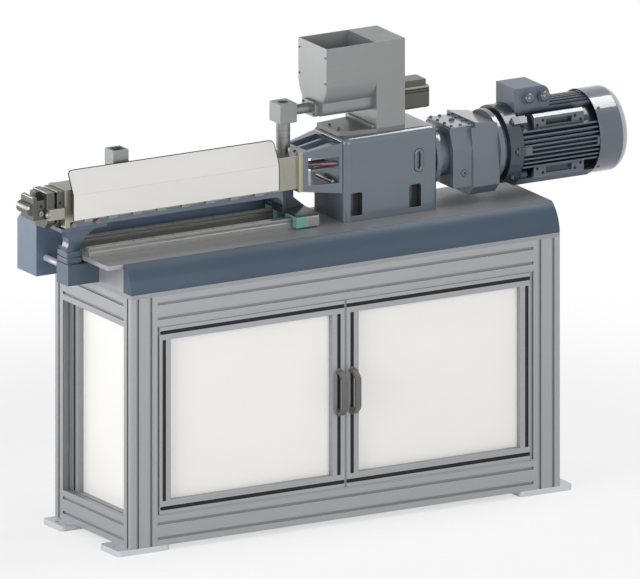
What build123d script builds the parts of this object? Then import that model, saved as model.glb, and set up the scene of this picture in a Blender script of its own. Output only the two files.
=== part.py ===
from build123d import *
import math
import os

# Twin-screw plastic extruder on a profile-frame cabinet, millimetres, +Z up.
# The origin is on the floor under the middle of the cabinet.
# The die points to -X, the drive motor to +X, and the doors face -Y.

# Cabinet frame of slotted aluminium profile
cabinet_length = 1300.0
cabinet_depth = 400.0
post_height = 678.0
profile_module = 40.0
post_width = 80.0
rail_height = 80.0
slot_width = 8.0
slot_depth = 4.0
bottom_rail_lift = 0.0
foot_length = 160.0
foot_depth = 100.0
foot_thickness = 15.0
foot_corner = 12.0
anchor_hole_radius = 7.0
anchor_spacing = 120.0
panel_thickness = 5.0
seat_gap = 0.3
cut_over = 1.0
side_stile_inset = 24.0
side_panel_lap = 30.0
cabinet_floor_height = 60.0
cabinet_floor_thickness = 3.0

# Doors
door_gap = 5.0
door_meeting_gap = 7.2
door_corner = 6.0
pivot_inset = 6.0
pivot_radius = 3.5
pivot_collar_radius = 6.0
pivot_depth = 10.0
pivot_clearance = 0.3
handle_height = 121.0
handle_reach = 36.0
handle_width = 16.0
handle_thickness = 9.0
handle_bend = 20.0
handle_lift = 6.0

# Table, raised bed and front apron
table_thickness = 12.0
bed_height = 65.0
bed_plate_thickness = 12.0
bed_plate_overhang = 47.0
apron_depth = 42.0
apron_bulge = 11.0
duct_clearance = 18.0
duct_height = 152.0
duct_overhang = 115.0
duct_length = 780.0
duct_chamfer = 15.0

# Guide rails and carriages under the barrel
guide_spacing = 104.0
guide_width = 20.0
guide_height = 28.0
guide_groove = 5.0
carriage_width = 60.0
carriage_height = 30.0
carriage_lift = 4.0
carriage_length = 33.0
carriage_cap_length = 36.0
carriage_left = -81.0
support_inset = 23.0
support_web = 8.0
support_plate = 6.0

# Screw line: heights are above the bed plate, lengths run along X
screw_height = 145.0
barrel_size = 90.0
barrel_length = 645.0
barrel_segments = 5
barrel_neck = 3.0
barrel_flange_length = 16.0
end_flange_length = 14.0
end_flange_drop = 14.0
beam_clearance = 2.0
feed_block_length = 70.0
feed_flange_size = 106.0
feed_flange_length = 12.0
feed_port_radius = 14.0
feed_port_offset = 41.0
fitting_pitch = 73.8
fitting_count = 8
fitting_length = 24.0
fitting_width = 12.0
fitting_height = 18.0
beam_height = 19.0
beam_width = 60.0
beam_haunch = 27.0
pedestal_top_length = 138.0
pedestal_top_thickness = 10.0
pedestal_web = 30.0
pedestal_foot_inset = 20.0
pedestal_lead = 4.0
spacer_clearance = 3.0
spacer_plate_width = 52.0
spacer_plate_thickness = 13.0
spacer_step = 4.0
bracket_length = 94.0
bracket_height = 56.0
bracket_arm_radius = 9.0
die_flange_length = 21.0
die_neck_length = 9.0
die_neck_size = 52.0
die_clamp_length = 22.0
die_plate_width = 76.0
die_plate_rise = 42.0
die_plate_drop = 56.0
die_plate_chamfer = 16.0
die_bar_length = 46.0
die_bar_height = 30.0
die_bar_thickness = 14.0
die_body_length = 28.0
die_body_width = 60.0
die_body_rise = 22.0
die_body_drop = 30.0
die_lip_length = 11.0
die_lip_width = 64.0
die_lip_rise = 33.0
die_nose_radius = 17.0
die_nose_length = 56.0
die_sensor_width = 28.0
die_sensor_rise = 39.0
die_sensor_length = 14.0

# Guard over the hot barrel
cover_length = 624.0
cover_width = 136.0
cover_wall_height = 68.0
cover_rise = 61.0
cover_lean = 31.0
cover_thickness = 2.0
cover_corner = 14.0
cover_drop = 34.0
cover_ear_length = 20.0
cover_gap = 10.0
vent_offset = 170.0
vent_width = 46.0
vent_height = 80.0
vent_wall = 6.0

# Lantern, gearbox and drive
gearbox_left = 62.0
gearbox_length = 286.0
gearbox_width = 172.0
gearbox_height = 229.0
gearbox_round = 18.0
gearbox_top_round = 16.0
pocket_width = 36.0
pocket_height = 62.0
pocket_depth = 26.0
pocket_lift = 16.0
pocket_margin = 19.0
pocket_pitch = 178.0
pocket_round = 6.0
sight_width = 21.0
sight_height = 57.0
sight_recess = 5.0
sight_glass_thickness = 2.0
sight_from_right = 60.0
sight_lift = 142.0
lantern_length = 107.0
lantern_wall = 15.0
lantern_end_wall = 9.0
lantern_rise = 72.0
lantern_drop = 66.0
lantern_window_height = 74.0
lantern_side_wall = 8.0
lantern_rib = 10.0
shaft_spacing = 26.0
shaft_radius = 5.5
sleeve_radius = 8.5
sleeve_length = 50.0
drive_height = 129.0
coupling_length = 47.0
coupling_flange_radius = 82.0
coupling_flange_length = 14.0
coupling_neck_radius = 62.0
reducer_front_length = 58.0
reducer_front_width = 164.0
reducer_front_top = 75.0
reducer_front_bottom = 80.0
reducer_shoulder = 22.0
reducer_taper = 21.0
reducer_rear_length = 79.0
reducer_rear_width = 176.0
reducer_rear_top = 91.0
reducer_rear_bottom = 109.0
reducer_rear_shoulder = 3.0
reducer_rear_taper = 14.0
reducer_rear_chamfer = 26.0
reducer_fall = 12.0
reducer_lid_height = 6.0
reducer_lid_length = 67.0
reducer_lid_width = 122.0
reducer_lid_inset = 4.0
reducer_shelf = 13.0
motor_flange_radius = 97.0
motor_flange_length = 14.0
motor_neck_radius = 86.0
motor_neck_length = 12.0
motor_shield_radius = 105.0
motor_shield_length = 40.0
motor_core_radius = 92.0
motor_fin_radius = 107.0
motor_fin_thickness = 4.0
motor_fin_pitch = 12.0
motor_fin_rows = 9
motor_fin_length = 230.0
motor_tail_length = 9.0
motor_lug_length = 40.0
motor_lug_width = 22.0
motor_lug_height = 14.0
motor_pad_offset = 65.0
motor_pad_height = 32.0
motor_pad_length = 36.0
motor_pad_spacing = 115.0
motor_pad_reach = 86.0
motor_pad_slot = 16.0
motor_pad_slot_depth = 12.0
motor_base_width = 90.0
fan_cover_radius = 113.0
fan_cover_length = 66.0
fan_cover_lap = 12.0
fan_cover_rim = 8.0
fan_cover_dome = 23.0
fan_cover_shoulder = 20.0
fan_cover_wall = 3.0
fan_slot_count = 24
fan_slot_width = 7.0
fan_slot_inner = 34.0
fan_slot_outer = 84.0
fan_hub_radius = 20.0
fan_blade_count = 7
fan_blade_radius = 98.0
fan_blade_thickness = 3.0
fan_blade_length = 34.0
terminal_length = 105.0
terminal_width = 97.0
terminal_height = 63.0
terminal_offset = 42.0
terminal_round = 24.0
gland_radius = 18.0
gland_length = 12.0
gland_height = 36.0
gland_offset = 38.0
gland_spacing = 46.0

# Feeder on the gearbox
feeder_base_thickness = 12.0
feeder_base_nose = 114.0
feeder_base_nose_length = 106.0
feeder_axis_height = 62.0
hopper_overhang = 47.0
hopper_width = 148.0
hopper_height = 235.0
hopper_length = 152.0
hopper_wall = 3.0
hopper_straight = 103.0
trough_width = 108.0
trough_flank = 50.0
trough_depth = 88.0
trough_corner = 20.0
drive_housing_length = 86.0
housing_foot_length = 9.0
housing_foot_height = 9.0
outlet_length = 50.0
outlet_width = 58.0
outlet_height = 52.0
feed_pipe_radius = 18.5
feed_neck_radius = 15.5
feed_neck_length = 15.0
feed_tube_radius = 13.5
feed_tube_bore = 9.0
feed_tube_flange_width = 70.0
feed_tube_flange_height = 40.0
feed_tube_flange_corner = 12.0
feed_tube_flange_length = 12.0
feeder_motor_length = 99.0
feeder_motor_size = 60.0
feeder_motor_chamfer = 5.0
feeder_motor_box_height = 17.0
feeder_motor_box_length = 91.0
feeder_motor_box_width = 52.0
feeder_motor_drop = 8.0

# Places worked out from the sizes above
half_length = cabinet_length / 2
half_depth = cabinet_depth / 2
post_left_inner = half_length - post_width
frame_top = foot_thickness + post_height
top_rail_bottom = frame_top - rail_height
bottom_rail_bottom = foot_thickness + bottom_rail_lift
bottom_rail_top = bottom_rail_bottom + rail_height
table_top = frame_top + table_thickness
bed_frame_top = table_top + bed_height
bed_top = bed_frame_top + bed_plate_thickness
bed_front = -half_depth + apron_depth
bed_back = (guide_spacing + carriage_width) / 2 + duct_clearance
screw_z = bed_top + screw_height
drive_z = bed_top + drive_height
gearbox_right = gearbox_left + gearbox_length
gearbox_top = bed_top + gearbox_height
lantern_left = gearbox_left - lantern_length
feed_block_left = lantern_left - feed_block_length
support_left = feed_block_left + support_inset
barrel_left = feed_block_left - barrel_length
barrel_bottom = screw_z - barrel_size / 2
barrel_top = screw_z + barrel_size / 2
feed_port_x = feed_block_left + feed_port_offset
feeder_base_top = gearbox_top + feeder_base_thickness
feeder_z = feeder_base_top + feeder_axis_height
hopper_top = feeder_base_top + hopper_height


def box(x0, x1, y0, y1, z0, z1):
    centre = Pos((x0 + x1) / 2, (y0 + y1) / 2, (z0 + z1) / 2)
    return centre * Box(x1 - x0, y1 - y0, z1 - z0)


def along_x(section, x0, x1, y=0.0, z=0.0):
    plane = Plane((x0, y, z), x_dir=(0, 1, 0), z_dir=(1, 0, 0))
    return extrude(plane * section, x1 - x0)


def along_y(section, y0, y1, x=0.0, z=0.0):
    plane = Plane((x, y1, z), x_dir=(1, 0, 0), z_dir=(0, -1, 0))
    return extrude(plane * section, y1 - y0)


def along_z(section, z0, z1, x=0.0, y=0.0):
    return extrude(Pos(x, y, z0) * section, z1 - z0)


def rod_x(radius, x0, x1, y, z):
    return along_x(Circle(radius), x0, x1, y, z)


def slotted_section(width, depth):
    """Profile cross-section with one slot to each module on every face."""
    section = Rectangle(width, depth)
    mouth = slot_width
    for column in range(max(1, round(width / profile_module))):
        x = (column + 0.5) * width / max(1, round(width / profile_module)) - width / 2
        for side in (-1, 1):
            section -= Pos(x, side * depth / 2) * Rectangle(mouth, 2 * slot_depth)
    for row in range(max(1, round(depth / profile_module))):
        y = (row + 0.5) * depth / max(1, round(depth / profile_module)) - depth / 2
        for side in (-1, 1):
            section -= Pos(side * width / 2, y) * Rectangle(2 * slot_depth, mouth)
    return section


def save(name, *solids):
    shape = solids[0] if len(solids) == 1 else Compound(children=list(solids))
    export_step(shape, os.path.join("parts", name + ".step"))


def foot_plates():
    plates = []
    for sx in (-1, 1):
        for sy in (-1, 1):
            x = sx * (half_length - post_width / 2)
            y = sy * (half_depth - foot_depth / 2)
            section = RectangleRounded(foot_length, foot_depth, foot_corner)
            for side in (-1, 1):
                section -= Pos(side * anchor_spacing / 2, 0) * Circle(anchor_hole_radius)
            plates.append(along_z(section, 0, foot_thickness, x, y))
    return plates


def corner_posts():
    section = slotted_section(post_width, profile_module)
    posts = []
    for sx in (-1, 1):
        for sy in (-1, 1):
            x = sx * (half_length - post_width / 2)
            y = sy * (half_depth - profile_module / 2)
            posts.append(along_z(section, foot_thickness, frame_top, x, y))
    return posts


def frame_rails(z0):
    section = slotted_section(profile_module, rail_height)
    z = z0 + rail_height / 2
    rails = []
    for side in (-1, 1):
        y = side * (half_depth - profile_module / 2)
        rails.append(along_x(section, -post_left_inner, post_left_inner, y, z))
        x = side * (half_length - profile_module / 2)
        inner = half_depth - profile_module
        rails.append(along_y(section, -inner, inner, x, z))
    return rails


def panel_stiles():
    section = slotted_section(profile_module, profile_module)
    stiles = []
    for sx in (-1, 1):
        for sy in (-1, 1):
            x = sx * (half_length - side_stile_inset - profile_module / 2)
            y = sy * (half_depth - 1.5 * profile_module)
            stiles.append(along_z(section, bottom_rail_top, top_rail_bottom, x, y))
    back_y = half_depth - profile_module / 2
    stiles.append(along_z(section, bottom_rail_top, top_rail_bottom, 0, back_y))
    return stiles


def fixed_panels():
    panels = []
    side_half = half_depth - 2 * profile_module
    side_face = half_length - profile_module
    for side in (-1, 1):
        x0, x1 = sorted((side * side_face, side * (side_face - panel_thickness)))
        panels.append(box(x0, x1, -side_half, side_half,
                          bottom_rail_top - side_panel_lap, top_rail_bottom + side_panel_lap))
    reach = slot_depth - seat_gap
    back_y = half_depth - profile_module / 2
    for side in (-1, 1):
        inner = side * (profile_module / 2 - reach)
        outer = side * (post_left_inner + reach)
        x0, x1 = sorted((inner, outer))
        panels.append(box(x0, x1, back_y - panel_thickness / 2, back_y + panel_thickness / 2,
                          bottom_rail_top - reach, top_rail_bottom + reach))
    return panels


def cabinet_floor():
    x = half_length - profile_module
    y = half_depth - profile_module
    z = cabinet_floor_height
    return box(-x, x, -y, y, z, z + cabinet_floor_thickness)


# Doors: two stiles and two rails round a panel, turning on pins beside the posts
door_outer = post_left_inner - door_gap
door_inner = door_meeting_gap / 2
door_bottom = bottom_rail_top + door_gap
door_top = top_rail_bottom - door_gap
door_front = -half_depth
pivot_x = door_outer - pivot_inset
pivot_y = door_front + pivot_inset


def door_bars(side):
    """Rails above and below two stiles, trimmed by the gap, with pin holes in the outer corners."""
    section = slotted_section(profile_module, profile_module)
    bar = profile_module / 2
    y = door_front + bar
    x0, x1 = sorted((0, side * post_left_inner))
    frame = None
    for z in (bottom_rail_top + bar, top_rail_bottom - bar):
        rail = along_x(section, x0, x1, y, z)
        frame = rail if frame is None else frame + rail
    for x in (post_left_inner - bar, bar):
        frame += along_z(section, bottom_rail_top + profile_module, top_rail_bottom - profile_module,
                         side * x, y)
    x0, x1 = sorted((side * door_inner, side * door_outer))
    frame &= box(x0, x1, door_front, door_front + profile_module, door_bottom, door_top)
    outer_edge = box(*sorted((side * door_outer, side * (door_outer - door_corner))),
                     door_front, door_front + door_corner, door_bottom, door_top)
    rounding = along_z(Circle(door_corner), door_bottom, door_top,
                       side * (door_outer - door_corner), door_front + door_corner)
    frame -= outer_edge - rounding
    for z0, z1 in ((door_bottom - cut_over, door_bottom + pivot_depth),
                   (door_top - pivot_depth, door_top + cut_over)):
        hole = Circle(pivot_radius + pivot_clearance)
        frame -= along_z(hole, z0, z1, side * pivot_x, pivot_y)
    return frame


def door_panel(side):
    reach = slot_depth - seat_gap
    x0, x1 = sorted((side * (profile_module - reach), side * (post_left_inner - profile_module + reach)))
    y = door_front + profile_module / 2
    return box(x0, x1, y - panel_thickness / 2, y + panel_thickness / 2,
               bottom_rail_top + profile_module - reach, top_rail_bottom - profile_module + reach)


def door_handle(side):
    """Bow handle with both feet on the inner stile."""
    x = side * profile_module / 2
    z = (door_bottom + door_top) / 2 + handle_lift
    reach = handle_reach
    half = handle_height / 2
    lead = reach - handle_bend
    inside = handle_thickness
    trim = inside * math.tan(math.pi / 8)
    outer = Polyline((0, half), (-lead, half), (-reach, half - handle_bend),
                     (-reach, handle_bend - half), (-lead, -half), (0, -half))
    inner = Polyline((0, -half + inside), (-lead + trim, -half + inside),
                     (-reach + inside, handle_bend - half + trim),
                     (-reach + inside, half - handle_bend - trim),
                     (-lead + trim, half - inside), (0, half - inside))
    closing = (Line((0, half - inside), (0, half)), Line((0, -half), (0, -half + inside)))
    bow = make_face([outer, closing[1], inner, closing[0]])
    return along_x(bow, x - handle_width / 2, x + handle_width / 2, door_front, z)


def door_pivots():
    pins = []
    for side in (-1, 1):
        x = side * pivot_x
        reach = pivot_depth - seat_gap
        for base, way in ((bottom_rail_top, 1), (top_rail_bottom, -1)):
            collar_end = base + way * (door_gap - seat_gap)
            pin_end = base + way * (door_gap + reach - seat_gap)
            z0, z1 = sorted((base, collar_end))
            collar = along_z(Circle(pivot_collar_radius), z0, z1, x, pivot_y)
            z0, z1 = sorted((base, pin_end))
            pins.append(collar + along_z(Circle(pivot_radius), z0, z1, x, pivot_y))
    return pins


def table_plate():
    return box(-half_length, half_length, -half_depth, half_depth, frame_top, table_top)


def bed_frame():
    return box(-half_length, half_length, bed_front, bed_back, table_top, bed_frame_top)


def bed_plate():
    left = -half_length - bed_plate_overhang
    return box(left, half_length, bed_front, bed_back, bed_frame_top, bed_top)


def front_apron():
    """Blue nosing along the front of the bed, bowed outwards."""
    low = (-half_depth, table_top)
    high = (bed_front, bed_top)
    mid = ((low[0] + high[0]) / 2, (low[1] + high[1]) / 2)
    run = math.hypot(high[0] - low[0], high[1] - low[1])
    bow = (mid[0] - apron_bulge * (high[1] - low[1]) / run,
           mid[1] + apron_bulge * (high[0] - low[0]) / run)
    nose = ThreePointArc(low, bow, high)
    face = make_face([nose, Line(high, (bed_front, table_top)), Line((bed_front, table_top), low)])
    return along_x(face, -half_length, half_length)


def rear_duct():
    left = -half_length - duct_overhang
    body = box(left, left + duct_length, bed_back, half_depth, table_top, table_top + duct_height)
    top_edges = body.faces().sort_by(Axis.Z)[-1].edges().filter_by(Axis.X)
    return chamfer(top_edges, duct_chamfer)


guide_left = -half_length - bed_plate_overhang
guide_right = carriage_left + carriage_cap_length + carriage_length
guide_top = bed_top + guide_height
carriage_top = bed_top + carriage_lift + carriage_height


def guide_rails():
    section = Rectangle(guide_width, guide_height)
    for side in (-1, 1):
        notch = Rotation(0, 0, 45) * Rectangle(guide_groove, guide_groove)
        section -= Pos(side * guide_width / 2, guide_height / 6) * notch
    z = bed_top + guide_height / 2
    return [along_x(section, guide_left, guide_right, side * guide_spacing / 2, z) for side in (-1, 1)]


def carriage_blocks(x0, x1):
    section = Pos(0, carriage_lift + carriage_height / 2) * Rectangle(carriage_width, carriage_height)
    slot = guide_height + seat_gap
    section -= Pos(0, slot / 2) * Rectangle(guide_width + 2 * seat_gap, slot)
    section = fillet(section.vertices().sort_by(Axis.Y)[-2:], guide_groove)
    return [along_x(section, x0, x1, side * guide_spacing / 2, bed_top) for side in (-1, 1)]


def rear_support():
    """Cross plate on the carriages with a web up to the feed block."""
    x0 = carriage_left + carriage_cap_length
    x1 = x0 + carriage_length
    half = (guide_spacing + carriage_width) / 2
    plate_top = carriage_top + support_plate
    plate = box(carriage_left, x1, -half, half, carriage_top, plate_top)
    web_left = support_left
    web_right = web_left + support_web
    web = box(web_left, web_right, -beam_width / 2, beam_width / 2, carriage_top, barrel_bottom)
    bridge = box(web_left, carriage_left, -beam_width / 2, beam_width / 2, carriage_top, plate_top)
    rib = Polyline((web_right, plate_top), (x1, plate_top), (web_right, barrel_bottom), close=True)
    gusset = along_y(make_face(rib), -support_web / 2, support_web / 2)
    return plate + web + bridge + gusset


bracket_left = -half_length - bracket_length
bracket_top = table_top + bracket_height
pedestal_bottom = bracket_top + 2 * (spacer_plate_thickness + spacer_step)
spacer_plate_length = bracket_length - bed_plate_overhang - spacer_clearance
beam_bottom = barrel_bottom - beam_height
beam_left = barrel_left + end_flange_length + beam_clearance


def bed_bracket():
    half = beam_width / 2
    block = box(bracket_left, -half_length, -half, half, table_top, bracket_top)
    arm_x = bracket_left + bracket_arm_radius
    arm_z = bracket_top - bracket_arm_radius
    return block + along_y(Circle(bracket_arm_radius), half, bed_back, arm_x, arm_z)


def hollow_arc(foot_x, top_x, z0, z1):
    """Hollow curve from a foot up to a wider top, almost level where it ends."""
    side = math.copysign(1, top_x - foot_x)
    centre_x = top_x + side * pedestal_lead
    run = abs(centre_x - foot_x)
    centre_z = (z1 ** 2 - z0 ** 2 + pedestal_lead ** 2 - run ** 2) / (2 * (z1 - z0))
    radius = math.hypot(run, z0 - centre_z)
    turn = (math.atan2(z0 - centre_z, run) + math.atan2(z1 - centre_z, pedestal_lead)) / 2
    middle = (centre_x - side * radius * math.cos(turn), centre_z + radius * math.sin(turn))
    return ThreePointArc((foot_x, z0), middle, (top_x, z1))


def front_pedestal():
    """Casting on two spacer plates, swept out from a narrow foot to a long capital."""
    left = bracket_left - pedestal_foot_inset
    right = left + pedestal_top_length
    foot_left = bracket_left
    foot_right = foot_left + spacer_plate_length
    flange_bottom = beam_bottom - pedestal_top_thickness
    lead = hollow_arc(foot_left, left, pedestal_bottom, flange_bottom)
    trail = hollow_arc(foot_right, right, pedestal_bottom, flange_bottom)
    web = make_face([lead, Line((left, flange_bottom), (right, flange_bottom)), trail,
                     Line((foot_right, pedestal_bottom), (foot_left, pedestal_bottom))])
    body = along_y(web, -pedestal_web / 2, pedestal_web / 2)
    body += box(left, right, -beam_width / 2, beam_width / 2, flange_bottom, beam_bottom)
    half = spacer_plate_width / 2
    z = bracket_top
    for plate in range(2):
        body += box(foot_left + spacer_step, foot_left + spacer_plate_length - spacer_step,
                    spacer_step - half, half - spacer_step, z, z + spacer_step)
        z += spacer_step
        body += box(foot_left, foot_left + spacer_plate_length, -half, half, z, z + spacer_plate_thickness)
        z += spacer_plate_thickness
    return body


def barrel_beam():
    """Bar under the barrel with a hollow-curved haunch where it meets the upright web."""
    half = beam_width / 2
    bar = box(beam_left, support_left, -half, half, beam_bottom, barrel_bottom)
    corner = (support_left, beam_bottom)
    start = (support_left - beam_haunch, beam_bottom)
    end = (support_left, beam_bottom - beam_haunch)
    dip = beam_haunch * (1 - math.sqrt(0.5))
    hollow = ThreePointArc(end, (corner[0] - dip, corner[1] - dip), start)
    haunch = make_face([Line(start, corner), Line(corner, end), hollow])
    return bar + along_y(haunch, -half, half)


cover_left = feed_block_left - cover_gap - cover_length
cover_bottom = screw_z - cover_drop
vent_x = cover_left + vent_offset


def barrel():
    """Square barrel in flanged segments, with ears that carry the guard."""
    pitch = barrel_length / barrel_segments
    size = barrel_size
    body = box(barrel_left, feed_block_left, -size / 2, size / 2, barrel_bottom, barrel_top)
    for index in range(barrel_segments):
        x0 = barrel_left + index * pitch + barrel_flange_length
        x1 = barrel_left + (index + 1) * pitch - barrel_flange_length
        for side in (-1, 1):
            y0, y1 = sorted((side * (size / 2 - barrel_neck), side * size))
            body -= box(x0, x1, y0, y1, barrel_bottom - cut_over, barrel_top + cut_over)
    body += box(barrel_left, barrel_left + end_flange_length, -size / 2, size / 2,
                barrel_bottom - end_flange_drop, barrel_bottom)
    inner = cover_width / 2 - cover_thickness
    for index in (0, barrel_segments - 1):
        x = barrel_left + (index + 0.5) * pitch
        x0 = x - cover_ear_length / 2
        body += box(x0, x0 + cover_ear_length, -inner, inner,
                    screw_z - cover_ear_length / 2, screw_z + cover_ear_length / 2)
    first = (barrel_left + feed_block_left - fitting_pitch * (fitting_count - 1)) / 2
    reach = size / 2 + fitting_width
    for index in range(fitting_count):
        x0 = first + index * fitting_pitch - fitting_length / 2
        body += box(x0, x0 + fitting_length, -reach, reach, barrel_bottom, barrel_bottom + fitting_height)
    return body


def feed_block():
    size = barrel_size
    flange_left = lantern_left - feed_flange_length
    body = box(feed_block_left, flange_left, -size / 2, size / 2, barrel_bottom, barrel_top)
    half = feed_flange_size / 2
    body += box(flange_left, lantern_left, -half, half, screw_z - half, screw_z + half)
    return body - along_z(Circle(feed_port_radius), screw_z, barrel_top + cut_over, feed_port_x)


def barrel_cover():
    """Two sheets along the barrel: a front that leans in above its fold, and a low back."""
    half = cover_width / 2
    sheet = cover_thickness
    right = cover_left + cover_length
    shoulder = cover_bottom + cover_wall_height
    ridge = (cover_lean - half, shoulder + cover_rise)
    bend = math.atan2(cover_lean, cover_rise)
    inner_ridge = (ridge[0] + sheet * math.cos(bend), ridge[1] - sheet * math.sin(bend))
    inner_fold = (sheet - half, shoulder - sheet * math.tan(bend / 2))
    profile = make_face(Polyline((-half, cover_bottom), (-half, shoulder), ridge, inner_ridge,
                                 inner_fold, (sheet - half, cover_bottom), close=True))
    front = along_x(profile, cover_left, right)
    front = fillet(front.edges().sort_by(Axis.Z)[-3:-1], cover_corner)
    return front, box(cover_left, right, half - sheet, half, cover_bottom, shoulder)


def vent_stack():
    half = vent_width / 2
    top = barrel_top + vent_height
    tube = box(vent_x - half, vent_x + half, -half, half, barrel_top, top)
    bore = half - vent_wall
    return tube - box(vent_x - bore, vent_x + bore, -bore, bore, barrel_top + vent_wall, top + cut_over)


die_flange_left = barrel_left - die_flange_length
die_clamp_right = die_flange_left - die_neck_length
die_clamp_left = die_clamp_right - die_clamp_length
die_body_left = die_clamp_left - die_body_length
die_lip_left = die_body_left - die_lip_length


def die_plate(x0, x1):
    """Square plate with its two lower corners cut off."""
    half = die_plate_width / 2
    high = die_plate_rise
    low = -die_plate_drop
    cut = die_plate_chamfer
    outline = Polyline((-half, high), (half, high), (half, low + cut), (half - cut, low),
                       (cut - half, low), (-half, low + cut), close=True)
    return along_x(make_face(outline), x0, x1, 0, screw_z)


def die_adapter():
    """Plate on the end of the barrel, with a neck towards the clamp plate."""
    half = die_neck_size / 2
    neck = box(die_clamp_right, die_flange_left, -half, half, screw_z - half, screw_z + half)
    return die_plate(die_flange_left, barrel_left) + neck


def die_clamp():
    """Clamp plate with a tie bar along each side, back to the barrel."""
    body = die_plate(die_clamp_left, die_clamp_right)
    inner = die_plate_width / 2
    x1 = die_clamp_left + die_bar_length
    for side in (-1, 1):
        y0, y1 = sorted((side * inner, side * (inner + die_bar_thickness)))
        body += box(die_clamp_left, x1, y0, y1, screw_z - die_bar_height, screw_z)
    return body


def die_head():
    """Die block, lip plate and rounded nose along Y, with a sensor block behind the lip."""
    half = die_body_width / 2
    top = screw_z + die_body_rise
    bottom = screw_z - die_body_drop
    body = box(die_body_left, die_clamp_left, -half, half, bottom, top)
    body += box(die_clamp_left - die_sensor_length, die_clamp_left, 0, die_sensor_width,
                top, screw_z + die_sensor_rise)
    half = die_lip_width / 2
    body += box(die_lip_left, die_body_left, -half, half, bottom, screw_z + die_lip_rise)
    half = die_nose_length / 2
    return body + along_y(Circle(die_nose_radius), -half, half, die_lip_left, screw_z)


outlet_bottom = feeder_z - outlet_height / 2
outlet_right = feed_port_x + outlet_length / 2


def feed_pipe():
    """Down pipe with a narrower neck in the feed block."""
    neck_top = barrel_top + feed_neck_length
    neck = along_z(Circle(feed_neck_radius) - Circle(feed_port_radius), barrel_top, neck_top, feed_port_x)
    ring = Circle(feed_pipe_radius) - Circle(feed_port_radius)
    return neck + along_z(ring, neck_top, outlet_bottom, feed_port_x)


def outlet_block():
    half_x = outlet_length / 2
    half_y = outlet_width / 2
    body = box(feed_port_x - half_x, feed_port_x + half_x, -half_y, half_y,
               outlet_bottom, outlet_bottom + outlet_height)
    body -= along_z(Circle(feed_port_radius), outlet_bottom - cut_over,
                    outlet_bottom + outlet_height + cut_over, feed_port_x)
    return body - rod_x(feed_tube_bore, feed_port_x, outlet_right + cut_over, 0, feeder_z)


hopper_left = gearbox_left - hopper_overhang
hopper_right = hopper_left + hopper_length


def feeder_tube():
    body = rod_x(feed_tube_radius, outlet_right, hopper_left, 0, feeder_z)
    flange = RectangleRounded(feed_tube_flange_width, feed_tube_flange_height, feed_tube_flange_corner)
    body += along_x(flange, hopper_left - feed_tube_flange_length, hopper_left, 0, feeder_z)
    return body - rod_x(feed_tube_bore, outlet_right - cut_over, hopper_left + cut_over, 0, feeder_z)


def trough_section(inset):
    """Hopper cross-section in Y and Z: straight sides, rounded flanks and a flat-bottomed trough."""
    half = hopper_width / 2 - inset
    low = trough_width / 2 - inset
    corner = trough_corner - inset
    straight_end = hopper_top - hopper_straight
    floor = straight_end - trough_depth + inset
    flank = (half - low) / 2 + trough_flank ** 2 / (2 * (half - low))
    turn = math.atan2(-trough_flank, low - (half - flank)) / 2
    bulge = (half - flank + flank * math.cos(turn), straight_end + flank * math.sin(turn))
    dip = corner * (1 - math.sqrt(0.5))
    edges = [Line((-half, hopper_top), (half, hopper_top)),
             Line((low - corner, floor), (corner - low, floor))]
    for side in (-1, 1):
        edges += [Line((side * half, hopper_top), (side * half, straight_end)),
                  ThreePointArc((side * half, straight_end), (side * bulge[0], bulge[1]),
                                (side * low, straight_end - trough_flank)),
                  Line((side * low, straight_end - trough_flank), (side * low, floor + corner)),
                  ThreePointArc((side * low, floor + corner), (side * (low - dip), floor + dip),
                                (side * (low - corner), floor))]
    return make_face(edges)


def feeder_hopper():
    shell = along_x(trough_section(0), hopper_left, hopper_right)
    inside = along_x(trough_section(hopper_wall), hopper_left + hopper_wall, hopper_right - hopper_wall)
    return shell - inside


def drive_housing():
    half = hopper_width / 2
    right = hopper_right + drive_housing_length
    body = box(hopper_right, right, -half, half, feeder_base_top, hopper_top)
    foot_left = hopper_right - housing_foot_length
    return body + box(foot_left, hopper_right, housing_foot_length - half, half,
                      feeder_base_top, feeder_base_top + housing_foot_height)


def feeder_base():
    left = hopper_right - feeder_base_nose_length
    right = hopper_right + drive_housing_length
    half = hopper_width / 2
    nose = feeder_base_nose / 2
    outline = Polyline((left, -nose), (hopper_right, -half), (right, -half), (right, half),
                       (hopper_right, half), (left, nose), close=True)
    return along_z(make_face(outline), gearbox_top, feeder_base_top)


def feeder_motor():
    left = hopper_right + drive_housing_length
    half = feeder_motor_size / 2
    axis_z = feeder_z - feeder_motor_drop
    body = box(left, left + feeder_motor_length, -half, half, axis_z - half, axis_z + half)
    body = chamfer(body.edges().filter_by(Axis.X), feeder_motor_chamfer)
    half_box = feeder_motor_box_width / 2
    return body + box(left, left + feeder_motor_box_length, -half_box, half_box,
                      axis_z + half, axis_z + half + feeder_motor_box_height)


def lantern():
    """Tapered bracket from the barrel flange to the gearbox, open on its sides and top."""
    half = feed_flange_size / 2
    wide = gearbox_width / 2 - gearbox_round / 2
    near = Plane((lantern_left, 0, screw_z), x_dir=(0, 1, 0), z_dir=(1, 0, 0)) * Rectangle(
        2 * half, 2 * half)
    far_height = lantern_rise + lantern_drop
    far = Plane((gearbox_left, 0, screw_z + (lantern_rise - lantern_drop) / 2),
                x_dir=(0, 1, 0), z_dir=(1, 0, 0)) * Rectangle(2 * wide, far_height)
    body = loft([near, far], ruled=True)
    x0 = lantern_left + lantern_wall
    x1 = gearbox_left - lantern_end_wall
    window = lantern_window_height / 2
    body -= box(x0, x1, -2 * wide, 2 * wide, screw_z - window, screw_z + window)
    slot = half - lantern_side_wall
    rib = lantern_rib / 2
    for y0, y1 in ((-slot, -rib), (rib, slot)):
        body -= box(x0, x1, y0, y1, screw_z, screw_z + 2 * wide)
    return body


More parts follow.
